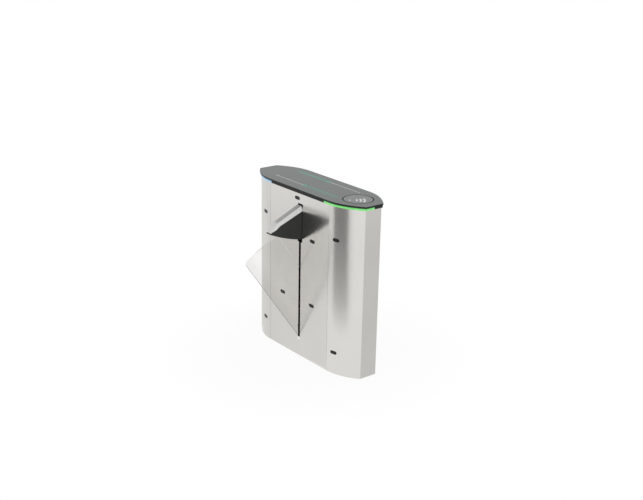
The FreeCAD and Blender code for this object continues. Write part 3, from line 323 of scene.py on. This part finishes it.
# Steel skin: front panel, both end shells and the rear door are 1.5 mm stainless sheet, brushed
# upright, bent round the ends and fixed from inside, so no screws show on the outside.
brush_depth = 0.0003
brushed, enter, leave = effect_group(
    "brushed_lines",
    [("Tint", COLOUR, (0.6, 0.6, 0.6, 1)), ("Grain", VECTOR, (900, 900, 6)),
     ("Roughness", FLOAT, 0.25), ("Spread", FLOAT, 0.08)],
    [("Color", COLOUR), ("Roughness", FLOAT), ("Height", FLOAT)])
spot = object_place(brushed)
drawn_out = vector_sums(brushed, "MULTIPLY", spot, enter["Grain"])
lines = add_node(brushed, "ShaderNodeTexNoise",
                 {"Vector": drawn_out, "Scale": 1.0, "Detail": 4.0, "Roughness": 0.7}).outputs["Fac"]
clouds = noise(brushed, spot, 2.2)
uneven = sums(brushed, "MULTIPLY", sums(brushed, "ADD", lines, clouds), 0.5)
brushed.links.new(shaded(brushed, enter["Tint"], uneven, 0.94, 1.06), leave["Color"])
off_middle = sums(brushed, "SUBTRACT", uneven, 0.5)
rough = sums(brushed, "MULTIPLY_ADD", off_middle, enter["Spread"], enter["Roughness"])
brushed.links.new(rough, leave["Roughness"])
brushed.links.new(lines, leave["Height"])


def brushed_metal(name, tint, grain, roughness, spread=0.12, relief=0.02):
    """Metal with fine parallel brush lines; grain is how tight the lines are along X, Y and Z."""
    material, tree, output = blank_material(name)
    brush = placed(tree, brushed, {"Tint": (*tint, 1), "Grain": grain, "Roughness": roughness,
                                   "Spread": spread})
    shader = add_node(tree, "ShaderNodeBsdfPrincipled",
                      {"Base Color": brush["Color"], "Roughness": brush["Roughness"], "Metallic": 1.0})
    close_surface(tree, output, shader, brush["Height"], relief, brush_depth)
    return material


skin_steel = brushed_metal("skin_steel", (0.705, 0.69, 0.66), (2600, 2600, 9), 0.2, relief=0.012)
dress(skin_steel, "front_panel", "left_end_shell", "right_end_shell", "rear_door")

# Slot edging: a black extruded trim pressed round the wing slot. The small white block at its foot, just
# under the lower corner of the wing, is a painted highlight where the slot's end catches the light.
edging_black = grained_finish("edging_black", (0.012, 0.012, 0.013), 1300, 0.42)
dress(edging_black, "slot_liner")


def block_mesh(name, low, high, round_by):
    """A rectangular piece between two corners with rounded edges."""
    shape = bmesh.new()
    bmesh.ops.create_cube(shape, size=1)
    middle = (Vector(low) + Vector(high)) / 2
    spread = Vector(high) - Vector(low)
    for vert in shape.verts:
        vert.co = Vector((vert.co.x * spread.x, vert.co.y * spread.y, vert.co.z * spread.z)) + middle
    bmesh.ops.bevel(shape, geom=shape.edges[:], offset=round_by, segments=3, affect="EDGES", profile=0.5)
    for face in shape.faces:
        face.smooth = True
    mesh = bpy.data.meshes.new(name)
    shape.to_mesh(mesh)
    shape.free()
    return mesh


def fit_piece(name, mesh, material, body):
    """Finish a detail piece: give it its material and body."""
    piece = piece_from_mesh(name, mesh)
    mesh.materials.append(material)
    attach(piece, body)


wing_x = 0.014
slot_foot = 0.106
highlight_half = 0.0115
highlight_front = -0.1415
highlight_back = -0.1400
highlight_under = 0.006
highlight_over = 0.0145
highlight_round = 0.0006
# Painted highlight: a small white block at the slot's foot, standing in for the light caught there.
foot_highlight_mesh = block_mesh("slot_foot_highlight", (wing_x - highlight_half, highlight_front, slot_foot - highlight_under),
                       (wing_x + highlight_half, highlight_back, slot_foot + highlight_over), highlight_round)
highlight_white = grained_finish("highlight_white", (0.98, 0.98, 0.97), 900, 0.4)
fit_piece("slot_foot_highlight", foot_highlight_mesh, highlight_white, "cabinet")

# Sensor windows: dark moulded lenses that pass infrared, pressed into the skin and standing a little
# proud of it, each with a small circuit board behind.
lens_dark = grained_finish("lens_dark", (0.010, 0.010, 0.011), 300, 0.3, relief=0.02, gloss=0.3)
dress(lens_dark, "sensor_windows")
laminate_green = (0.015, 0.10, 0.045)
laminate_grain = 420
laminate_rough = 0.34
board_green = grained_finish("board_green", laminate_green, laminate_grain, laminate_rough, coat=0.2)
dress(board_green, "sensor_boards")

# Wing shaft, hubs, arms and rod: steel turned and milled bright, held by socket screws. The free hub
# runs on a sintered bronze bush.
turned_steel = brushed_metal("turned_steel", (0.5, 0.5, 0.51), (30, 700, 700), 0.3)
dress(turned_steel, "wing_shaft", "shaft_collar", "shaft_bearings", "outer_hub", "inner_hub",
      "outer_hub_screws", "inner_hub_screws", "drag_pin", "rocker_arm", "crank_arm", "output_shaft",
      "connecting_rod", "tie_bolts")
bush_bronze = brushed_metal("bush_bronze", (0.45, 0.27, 0.12), (30, 700, 700), 0.38)
dress(bush_bronze, "inner_bush")


# Gearbox and motor: a cast alloy worm box on its stand, with a black enamelled motor on top. Cooling
# ribs run round the motor and four socket screws close each side of the box.
def lathe_mesh(name, profile, centre, axis, segments=32):
    """A turned piece: a profile of (radius, height) pairs spun about an axis through its centre."""
    shape = bmesh.new()
    upright = Vector(axis).to_track_quat("Z", "Y").to_matrix()
    rings = []
    for radius, height in profile:
        if radius == 0:
            rings.append([shape.verts.new(Vector(centre) + upright @ Vector((0, 0, height)))])
            continue
        ring = []
        for step in range(segments):
            angle = 2 * math.pi * step / segments
            local = Vector((radius * math.cos(angle), radius * math.sin(angle), height))
            ring.append(shape.verts.new(Vector(centre) + upright @ local))
        rings.append(ring)
    for lower, upper in zip(rings, rings[1:]):
        for step in range(segments):
            after = (step + 1) % segments
            corners = [lower[step % len(lower)], lower[after % len(lower)],
                       upper[after % len(upper)], upper[step % len(upper)]]
            face = shape.faces.new(list(dict.fromkeys(corners)))
            face.smooth = True
    bmesh.ops.recalc_face_normals(shape, faces=shape.faces[:])
    mesh = bpy.data.meshes.new(name)
    shape.to_mesh(mesh)
    shape.free()
    return mesh


def screw_mesh(name, centre, axis, radius):
    """A low button head with a round drive socket."""
    profile = [(radius, 0), (radius * 0.97, radius * 0.18), (radius * 0.8, radius * 0.42),
               (radius * 0.5, radius * 0.55), (radius * 0.44, radius * 0.5), (radius * 0.4, radius * 0.12),
               (0, radius * 0.1)]
    return lathe_mesh(name, profile, centre, axis, 24)


cast_alloy = brushed_metal("cast_alloy", (0.55, 0.55, 0.55), (260, 260, 260), 0.42, relief=0.05)
dress(cast_alloy, "gearbox")
motor_black = grained_finish("motor_black", (0.03, 0.03, 0.032), 600, 0.4)
dress(motor_black, "drive_motor", "motor_encoder")
gearbox_low, gearbox_high = (Vector(corner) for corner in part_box("gearbox"))
gearbox_middle = (gearbox_low + gearbox_high) / 2
cover_inset = 0.008
cover_screw_radius = 0.0032
for side, face_x in ((-1, gearbox_low.x), (1, gearbox_high.x)):
    for along in (-1, 1):
        for above in (-1, 1):
            spot = Vector((face_x,
                           gearbox_middle.y + along * (gearbox_high.y - gearbox_middle.y - cover_inset),
                           gearbox_middle.z + above * (gearbox_high.z - gearbox_middle.z - cover_inset)))
            name = f"gearbox_screw_{side}_{along}_{above}".replace("-", "m")
            mesh = screw_mesh(name, spot, (side, 0, 0), cover_screw_radius)
            fit_piece(name, mesh, turned_steel, "cabinet")
motor_low, motor_high = (Vector(corner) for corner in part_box("drive_motor"))
motor_radius = (motor_high.x - motor_low.x) / 2
motor_centre = Vector(((motor_low.x + motor_high.x) / 2, (motor_low.y + motor_high.y) / 2, 0))
rib_count = 11
rib_first = motor_low.z + 0.035
rib_pitch = 0.008
rib_root = motor_radius - 0.001
rib_shoulder = motor_radius + 0.0018
rib_crest = motor_radius + 0.0022
rib_profile = [(rib_root, 0), (rib_shoulder, 0.0006), (rib_crest, 0.0013), (rib_shoulder, 0.002),
               (rib_root, 0.0026)]
for index in range(rib_count):
    name = f"motor_rib_{index}"
    foot = motor_centre + Vector((0, 0, rib_first + index * rib_pitch))
    mesh = lathe_mesh(name, rib_profile, foot, (0, 0, 1), 48)
    fit_piece(name, mesh, motor_black, "cabinet")

# Wing leaves: two sheets of polished clear polycarbonate that fan on one shaft, barely there but for the
# sawn lower edge of the outer one, a thin dark line with a smoky margin. The inner leaf is smoked from
# where it laps the outer one's long edge, so that the two look like one sheet.
outer_lean = math.radians(35.4)
inward = (0, math.cos(outer_lean), math.sin(outer_lean))
lower_corner = (0, -0.140, 0.122)
arris = 0.0012
sawn_grey = (0.2, 0.2, 0.2, 1)
sheet_bend = 1.04


def mixed(tree, share, first, second):
    """The first colour at share 0, the second at share 1; gives the colour socket."""
    return add_node(tree, "ShaderNodeMix", {"Factor": share, "A": first, "B": second},
                    data_type="RGBA").outputs[2]


leaf_smoke, enter, leave = effect_group(
    "leaf_smoke",
    [("Tint", COLOUR, (0.95, 0.95, 0.95, 1)), ("Smoked Tint", COLOUR, (0.85, 0.85, 0.85, 1)),
     ("Clear At", FLOAT, 0.08), ("Smoked At", FLOAT, 0.015)],
    [("Color", COLOUR), ("Roughness", FLOAT)])
spot = object_place(leaf_smoke)
haze = noise(leaf_smoke, spot, 14.0)
from_corner = vector_sums(leaf_smoke, "SUBTRACT", spot, lower_corner)
from_edge = vector_sums(leaf_smoke, "DOT_PRODUCT", from_corner, inward)
sawn_edge = sums(leaf_smoke, "LESS_THAN", from_edge, arris)
smoke = ranged(leaf_smoke, from_edge, enter["Clear At"], enter["Smoked At"], smooth=True)
clear_tint = shaded(leaf_smoke, enter["Tint"], haze, 0.985, 1.015)
face_tint = mixed(leaf_smoke, smoke, clear_tint, enter["Smoked Tint"])
leaf_smoke.links.new(mixed(leaf_smoke, sawn_edge, face_tint, sawn_grey), leave["Color"])
sawn_rough = sums(leaf_smoke, "MULTIPLY", sawn_edge, 0.4)
leaf_smoke.links.new(sums(leaf_smoke, "MULTIPLY_ADD", haze, 0.03, sawn_rough), leave["Roughness"])


def clear_sheet(name, tint, smoked_tint, clear_at, smoked_at):
    """A clear sheet, smoked darker over a range of distance from the outer leaf's matt lower edge."""
    material, tree, output = blank_material(name)
    smoked = placed(tree, leaf_smoke, {"Tint": (*tint, 1), "Smoked Tint": (*smoked_tint, 1),
                                       "Clear At": clear_at, "Smoked At": smoked_at})
    shader = add_node(tree, "ShaderNodeBsdfPrincipled",
                      {"Base Color": smoked["Color"], "Roughness": smoked["Roughness"],
                       "Transmission Weight": 1.0, "IOR": sheet_bend})
    tree.links.new(shader.outputs[0], output.inputs["Surface"])
    return material


margin_clear = 0.080
margin_smoked = 0.015
outer_sheet = clear_sheet("outer_sheet", (0.9, 0.895, 0.885), (0.84, 0.835, 0.825), margin_clear,
                          margin_smoked)
dress(outer_sheet, "outer_leaf")
outer_width = 0.252
leaf_lap = 0.004
lap_line = outer_width - leaf_lap
lap_blur = 0.0005
inner_sheet = clear_sheet("inner_sheet", (0.985, 0.985, 0.98), (0.895, 0.89, 0.88), lap_line - lap_blur,
                          lap_line + lap_blur)
dress(inner_sheet, "inner_leaf")

# Pod: two dark grained cheeks moulded in filled nylon, spaced off the inner leaf by alloy sleeves and
# held by through bolts with flush heads.
pod_black = grained_finish("pod_black", (0.017, 0.018, 0.017), 900, 0.42, gloss=0.35)
dress(pod_black, "pod_near_cheek", "pod_far_cheek")
alloy_satin = brushed_metal("alloy_satin", (0.86, 0.86, 0.85), (900, 40, 900), 0.34)
dress(alloy_satin, "pod_spacers")

# Wing rail: a satin white anodised extrusion along the pod's top, with a darker grey brushed strip on its
# upward faces along part of its length.
rail_white, tree, output = blank_material("rail_white")
inner_lean = math.radians(19)
rail_rise = 0.014
rail_length = 0.170
rail_slope = inner_lean + math.atan2(rail_rise, rail_length)
rail_top = (0, -math.sin(rail_slope), math.cos(rail_slope))
rail_place = tree.nodes.new("ShaderNodeTexCoord").outputs
rail_up = vector_sums(tree, "DOT_PRODUCT", rail_place["Normal"], rail_top)
shaft_place = (0, -0.110, 0.118)
from_shaft = vector_sums(tree, "SUBTRACT", rail_place["Object"], shaft_place)
rail_run = vector_sums(tree, "DOT_PRODUCT", from_shaft, (0, math.cos(inner_lean), math.sin(inner_lean)))
strip_end = 0.054
strip_fade = 0.014
strip_reach = ranged(tree, rail_run, strip_end - strip_fade, strip_end + strip_fade, smooth=True)
# Darker grey on the faces that look up, over the part of the rail past strip_end from the shaft.
upper_face_strip = sums(tree, "MULTIPLY", sums(tree, "GREATER_THAN", rail_up, 0.9), strip_reach)
rail_grain = (1500, 60, 60)
rail_lines = placed(tree, brushed, {"Grain": rail_grain, "Tint": (0.76, 0.76, 0.747, 1)})
strip_lines = placed(tree, brushed, {"Grain": rail_grain, "Tint": (0.45, 0.455, 0.445, 1)})
rail_tint = mixed(tree, upper_face_strip, rail_lines["Color"], strip_lines["Color"])
shader = add_node(tree, "ShaderNodeBsdfPrincipled",
                  {"Base Color": rail_tint, "Roughness": rail_lines["Roughness"]})
close_surface(tree, output, shader, rail_lines["Height"], 0.03, brush_depth)
dress(rail_white, "wing_rail")

# Electronics: a green circuit board on standoffs, a folded power supply case with vent slits painted
# near-black as painted shade, not cut, and a sealed battery. Capacitors and screw terminals stand on the
# board.
dress(board_green, "control_board")
dress(alloy_satin, "board_standoffs")
supply_case, tree, output = blank_material("supply_case")
case_axes = axes(tree, object_place(tree))
vent_pitch = 0.009
vent_solid = 0.62
vent_half = 0.042
vent_row = sums(tree, "FRACT", sums(tree, "DIVIDE", case_axes["Z"], vent_pitch))
vent_slit = sums(tree, "GREATER_THAN", vent_row, vent_solid)
vent_reach = sums(tree, "LESS_THAN", sums(tree, "ABSOLUTE", case_axes["Y"]), vent_half)
painted_vent_shade = sums(tree, "MULTIPLY", vent_slit, vent_reach)
case_lines = placed(tree, brushed, {"Grain": (600, 40, 600), "Tint": (0.62, 0.62, 0.61, 1)})
# Painted shade: the vent rows are near-black and not metal, standing in for the dark inside open slits.
case_tint = mixed(tree, painted_vent_shade, case_lines["Color"], (0.012, 0.012, 0.012, 1))
shader = add_node(tree, "ShaderNodeBsdfPrincipled",
                  {"Base Color": case_tint, "Roughness": case_lines["Roughness"],
                   "Metallic": sums(tree, "SUBTRACT", 1.0, painted_vent_shade)})
close_surface(tree, output, shader, case_lines["Height"], 0.02, brush_depth)
dress(supply_case, "power_supply")
board_face = -0.2465
capacitor_black = grained_finish("capacitor_black", (0.02, 0.022, 0.03), 500, 0.3, coat=0.3)
capacitor_spots = [(0.040, 0.715, 0.008, 0.020), (0.060, 0.712, 0.006, 0.016),
                   (-0.055, 0.612, 0.006, 0.014), (-0.055, 0.632, 0.006, 0.014)]
can_round = 0.0012
can_dish = 0.0004
for index, (across, above, radius, tall) in enumerate(capacitor_spots):
    profile = [(radius, 0), (radius, tall - can_round), (radius - can_round, tall),
               (radius - can_round - can_dish, tall - can_dish), (0, tall - can_dish)]
    name = f"board_capacitor_{index}"
    mesh = lathe_mesh(name, profile, (board_face, across, above), (1, 0, 0))
    fit_piece(name, mesh, capacitor_black, "cabinet")
terminal_green = grained_finish("terminal_green", (0.03, 0.2, 0.06), 500, 0.4)
terminal_count = 8
terminal_pitch = 0.0127
terminal_half = 0.0058
terminal_low = 0.569
terminal_high = 0.581
terminal_proud = 0.013
terminal_mesh = bmesh.new()
for index in range(terminal_count):
    along = (index - (terminal_count - 1) / 2) * terminal_pitch
    part = block_mesh("terminal", (board_face, along - terminal_half, terminal_low),
                      (board_face + terminal_proud, along + terminal_half, terminal_high), 0.001)
    terminal_mesh.from_mesh(part)
    bpy.data.meshes.remove(part)
terminal_row = bpy.data.meshes.new("board_terminals")
terminal_mesh.to_mesh(terminal_row)
terminal_mesh.free()
fit_piece("board_terminals", terminal_row, terminal_green, "cabinet")
battery_grey = grained_finish("battery_grey", (0.045, 0.046, 0.05), 500, 0.5)
dress(battery_grey, "backup_battery")
battery_low, battery_high = (Vector(corner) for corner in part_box("backup_battery"))
battery_inset = 0.016
post_flange = 0.0068
post_radius = 0.004
post_profile = [(post_flange, 0), (post_flange, 0.003), (post_radius, 0.0036), (post_radius, 0.0094),
                (post_radius - 0.0006, 0.010), (0, 0.010)]
for index, post_x in enumerate((battery_low.x + battery_inset, battery_high.x - battery_inset)):
    base = (post_x, (battery_low.y + battery_high.y) / 2, battery_high.z)
    name = f"battery_post_{index}"
    fit_piece(name, lathe_mesh(name, post_profile, base, (0, 0, 1)), bush_bronze, "cabinet")

# Light band: a black diffuser carrier round the head of the cabinet with two frosted bars let into it, green
# at the reader end and blue at the other, lit by a row of diodes. Their glow fades out towards the top of
# each bar, as painted shade under the lid's overhang.
lid_black = grained_finish("lid_black", (0.008, 0.008, 0.009), 900, 0.4, gloss=0.25)
dress(lid_black, "light_band", "lid_base")
band_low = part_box("light_band")[0][2]
band_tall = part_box("light_band")[1][2] - band_low
bar_glow, enter, leave = effect_group(
    "bar_glow",
    [("Lit", COLOUR, (0.2, 0.8, 0.2, 1)), ("Dim", COLOUR, (0.0, 0.1, 0.0, 1))],
    [("Color", COLOUR)])
spot = object_place(bar_glow)
above_band = sums(bar_glow, "SUBTRACT", axes(bar_glow, spot)["Z"], band_low)
bar_level = sums(bar_glow, "DIVIDE", above_band, band_tall)
glow_full = 0.5
glow_gone = 0.88
# Painted shade: the glow fades out towards the top of the bar, where the lid's overhang shades it.
lid_shade_fade = ranged(bar_glow, bar_level, glow_full, glow_gone, 1.0, 0.0, smooth=True)
diodes = noise(bar_glow, spot, 34.0, 1.0)
diode_level = ranged(bar_glow, diodes, noise_low, noise_high, 0.78, 1.0)
bar_share = sums(bar_glow, "MULTIPLY", lid_shade_fade, diode_level)
bar_glow.links.new(mixed(bar_glow, bar_share, enter["Dim"], enter["Lit"]), leave["Color"])


def lit_bar(name, lit, dim):
    """A frosted light bar that glows along its lower half, its glow fading upwards as painted shade under
    the lid.
    """
    material, tree, output = blank_material(name)
    glow = placed(tree, bar_glow, {"Lit": (*lit, 1), "Dim": (*dim, 1)})
    shader = add_node(tree, "ShaderNodeBsdfPrincipled",
                      {"Base Color": (*dim, 1), "Roughness": 0.35, "Emission Color": glow["Color"],
                       "Emission Strength": 0.9})
    tree.links.new(shader.outputs[0], output.inputs["Surface"])
    return material


dress(lit_bar("green_lit", (0.26, 0.86, 0.24), (0.006, 0.085, 0.012)), "green_light_bar")
dress(lit_bar("blue_lit", (0.42, 0.62, 0.82), (0.028, 0.08, 0.135)), "blue_light_bar")

# Indicator board: a long circuit board under the lid, set with rows of small white diodes that shine up
# through the lane marks.
diode_board, tree, output = blank_material("diode_board")
board_axes = axes(tree, object_place(tree))
diode_pitch = 0.012
diode_share = 0.3
diode_lines = []
for direction in ("X", "Y"):
    diode_phase = sums(tree, "FRACT", sums(tree, "DIVIDE", board_axes[direction], diode_pitch))
    diode_lines.append(sums(tree, "LESS_THAN", diode_phase, diode_share))
diode_mask = sums(tree, "MULTIPLY", *diode_lines)
board_grain = placed(tree, grained, {"Tint": (*laminate_green, 1), "Scale": laminate_grain,
                                     "Roughness": laminate_rough})
board_tint = mixed(tree, diode_mask, board_grain["Color"], (0.75, 0.74, 0.68, 1))
shader = add_node(tree, "ShaderNodeBsdfPrincipled",
                  {"Base Color": board_tint, "Roughness": board_grain["Roughness"]})
close_surface(tree, output, shader, board_grain["Height"], 0.05, grain_depth)
dress(diode_board, "indicator_board")

# Lid sheet: smoked glass with a grey satin face, printed with one lane mark each way, a thin white line
# that runs into a row of green chevrons. Its sides are painted near-black as painted shade on the rim, and
# faint smears change the sheen.
lane_print, enter, leave = effect_group(
    "lane_print",
    [("Heading", FLOAT, 1.0), ("Middle", FLOAT, -0.072), ("Line From", FLOAT, -0.315),
     ("Line To", FLOAT, -0.05), ("Arrows To", FLOAT, 0.265), ("Strength", FLOAT, 0.5)],
    [("Line", FLOAT), ("Arrows", FLOAT)])
spot_axes = axes(lane_print, object_place(lane_print))
along = sums(lane_print, "MULTIPLY", spot_axes["X"], enter["Heading"])
across = sums(lane_print, "ABSOLUTE", sums(lane_print, "SUBTRACT", spot_axes["Y"], enter["Middle"]))
past_start = sums(lane_print, "GREATER_THAN", along, enter["Line From"])
past_line = sums(lane_print, "GREATER_THAN", along, enter["Line To"])
on_line = sums(lane_print, "MULTIPLY", past_start, sums(lane_print, "SUBTRACT", 1.0, past_line))
line_half = 0.0034
line_print = sums(lane_print, "MULTIPLY", on_line, sums(lane_print, "LESS_THAN", across, line_half))
lane_print.links.new(line_print, leave["Line"])
chevron_pitch = 0.030
chevron_half = 0.014
chevron_share = 0.7
chevron_lean = 1.2
lean_back = sums(lane_print, "MULTIPLY_ADD", across, chevron_lean, along)
chevron_phase = sums(lane_print, "FRACT", sums(lane_print, "DIVIDE", lean_back, chevron_pitch))
chevrons = sums(lane_print, "LESS_THAN", chevron_phase, chevron_share)
before_end = sums(lane_print, "LESS_THAN", along, enter["Arrows To"])
in_lane = sums(lane_print, "MULTIPLY", sums(lane_print, "LESS_THAN", across, chevron_half),
               sums(lane_print, "MULTIPLY", past_line, before_end))
lane_chevrons = sums(lane_print, "MULTIPLY", chevrons, in_lane)
chevron_print = sums(lane_print, "MULTIPLY", lane_chevrons, enter["Strength"])
head_reach = 0.05
head_slope = 0.36
head_strength = 0.8
head_left = sums(lane_print, "SUBTRACT", sums(lane_print, "ADD", enter["Line To"], head_reach), along)
in_head = sums(lane_print, "LESS_THAN", across, sums(lane_print, "MULTIPLY", head_left, head_slope))
arrow_head = sums(lane_print, "MULTIPLY", past_line, in_head)
head_print = sums(lane_print, "MULTIPLY", arrow_head, head_strength)
lane_print.links.new(sums(lane_print, "MAXIMUM", head_print, chevron_print), leave["Arrows"])
smeared, enter, leave = effect_group(
    "glass_smears",
    [("Tint", COLOUR, (0.2, 0.2, 0.2, 1)), ("Scale", FLOAT, 6.0)],
    [("Color", COLOUR), ("Roughness", FLOAT)])
smears = noise(smeared, object_place(smeared), enter["Scale"], 4.0)
smeared.links.new(shaded(smeared, enter["Tint"], smears, 0.95, 1.05), leave["Color"])
smear_rough = 0.12
gloss_rough = 0.2
smeared.links.new(sums(smeared, "MULTIPLY_ADD", smears, smear_rough, gloss_rough), leave["Roughness"])
lid_gloss, tree, output = blank_material("lid_gloss")
near_lane = placed(tree, lane_print, {"Heading": 1.0, "Middle": -0.072})
far_lane = placed(tree, lane_print, {"Heading": -1.0, "Middle": 0.087, "Line From": -0.263,
                                     "Line To": -0.002, "Arrows To": 0.302, "Strength": 0.68})
line_mask = sums(tree, "MAXIMUM", near_lane["Line"], far_lane["Line"])
arrow_mask = sums(tree, "MAXIMUM", near_lane["Arrows"], far_lane["Arrows"])
lid_smears = placed(tree, smeared, {"Tint": (0.155, 0.174, 0.167, 1), "Scale": 6.0})
with_line = mixed(tree, line_mask, lid_smears["Color"], (0.6, 0.61, 0.6, 1))
with_arrows = mixed(tree, arrow_mask, with_line, (0.045, 0.43, 0.29, 1))
glass_facing = tree.nodes.new("ShaderNodeTexCoord").outputs["Normal"]
# Painted shade: faces of the lid sheet that turn sideways are made near-black.
rim_turn = 0.5
shaded_rim = sums(tree, "LESS_THAN", axes(tree, glass_facing)["Z"], rim_turn)
with_shaded_rim = mixed(tree, shaded_rim, with_arrows, (0.008, 0.008, 0.009, 1))
glass_gloss = 0.2
shader = add_node(tree, "ShaderNodeBsdfPrincipled",
                  {"Base Color": with_shaded_rim, "Roughness": lid_smears["Roughness"],
                   "Specular IOR Level": glass_gloss})
tree.links.new(shader.outputs[0], output.inputs["Surface"])
dress(lid_gloss, "lid_glass")

# Card reader: a black module under a round window with a dull rim, marked with a dot and three pale
# arcs, the usual sign for holding a card near.
dress(motor_black, "reader_module")
reader_sign, tree, output = blank_material("reader_sign")
sign_place = object_place(tree)
reader_low, reader_high = (Vector(corner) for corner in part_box("reader_window"))
reader_middle = (reader_low + reader_high) / 2
reader_radius = (reader_high.x - reader_low.x) / 2


def level_offset(tree, place, root):
    """How far a place lies from a root along X and Y, with the height left out; gives the socket."""
    return vector_sums(tree, "MULTIPLY", vector_sums(tree, "SUBTRACT", place, root), (1, 1, 0))


rim_width = 0.007
rim_distance = vector_sums(tree, "LENGTH", level_offset(tree, sign_place, reader_middle))
rim_mask = sums(tree, "GREATER_THAN", rim_distance, reader_radius - rim_width)
arc_root = reader_middle - Vector((0.013, 0.050, 0))
arc_heading = math.radians(52)
arc_half_angle = math.radians(24)
arc_count = 3
arc_pitch = 0.0215
arc_share = 0.55
arc_first = 0.034
arc_last = arc_first + arc_count * arc_pitch
from_root = level_offset(tree, sign_place, arc_root)
arc_distance = vector_sums(tree, "LENGTH", from_root)
past_first = sums(tree, "SUBTRACT", arc_distance, arc_first)
arc_phase = sums(tree, "FRACT", sums(tree, "DIVIDE", past_first, arc_pitch))
arc_rings = sums(tree, "LESS_THAN", arc_phase, arc_share)
arc_zone = sums(tree, "MULTIPLY", sums(tree, "GREATER_THAN", arc_distance, arc_first),
                sums(tree, "LESS_THAN", arc_distance, arc_last))
arc_facing = vector_sums(tree, "DOT_PRODUCT", vector_sums(tree, "NORMALIZE", from_root),
                         (math.cos(arc_heading), math.sin(arc_heading), 0))
arc_spread = sums(tree, "GREATER_THAN", arc_facing, math.cos(arc_half_angle))
arcs = sums(tree, "MULTIPLY", arc_rings, sums(tree, "MULTIPLY", arc_zone, arc_spread))
dot_radius = 0.007
arc_mask = sums(tree, "MAXIMUM", arcs, sums(tree, "LESS_THAN", arc_distance, dot_radius))
sign_smears = placed(tree, smeared, {"Tint": (0.235, 0.245, 0.25, 1), "Scale": 9.0})
with_arcs = mixed(tree, arc_mask, sign_smears["Color"], (0.85, 0.86, 0.85, 1))
with_rim = mixed(tree, rim_mask, with_arcs, (0.006, 0.006, 0.006, 1))
rim_rough = 0.3
sign_rough = sums(tree, "MULTIPLY_ADD", rim_mask, rim_rough, sign_smears["Roughness"])
shader = add_node(tree, "ShaderNodeBsdfPrincipled",
                  {"Base Color": with_rim, "Roughness": sign_rough, "Specular IOR Level": glass_gloss})
tree.links.new(shader.outputs[0], output.inputs["Surface"])
dress(reader_sign, "reader_window")

# Hinges: plain steel butt hinges, two on the rear door and two under the lid. Button screws hold the
# leaves of the door hinges, three to a leaf.
dress(turned_steel, "door_hinge_pins", "lid_hinge_pins", "door_hinge_fixed", "door_hinge_moving",
      "lid_hinge_fixed", "lid_hinge_moving")
leaf_face_y = 0.142
screw_step = 0.026
hinge_screw_radius = 0.0035
for hinge, hinge_z in (("low", 0.180), ("high", 0.820)):
    for leaf, screw_x, body in (("fixed", -0.2915, "cabinet"), ("moving", -0.2545, "rear_door")):
        for row in (-1, 0, 1):
            name = f"door_hinge_{hinge}_{leaf}_screw_{row + 1}"
            spot = (screw_x, leaf_face_y, hinge_z + row * screw_step)
            mesh = screw_mesh(name, spot, (0, 1, 0), hinge_screw_radius)
            fit_piece(name, mesh, turned_steel, body)

# Door lock: a plated cam lock through the rear door. The plug turns in the barrel and carries the cam
# inside.
# Its key slot outside is a thin black block, painted shade standing in for the dark inside the keyway.
lock_plated = brushed_metal("lock_plated", (0.7, 0.7, 0.71), (500, 30, 500), 0.14)
dress(lock_plated, "lock_barrel", "lock_plug")
lock_x = 0.238
lock_z = 0.480
lock_face_y = 0.1425
key_half_width = 0.0009
key_half_height = 0.0038
key_sunk = 0.0006
key_proud = 0.0003
# Painted shade: a thin black block in the plug's face where the keyway opens.
key_slot = block_mesh("lock_keyway_shade",
                      (lock_x - key_half_width, lock_face_y - key_sunk, lock_z - key_half_height),
                      (lock_x + key_half_width, lock_face_y + key_proud, lock_z + key_half_height), 0.0003)
fit_piece("lock_keyway_shade", key_slot, edging_black, "lock")
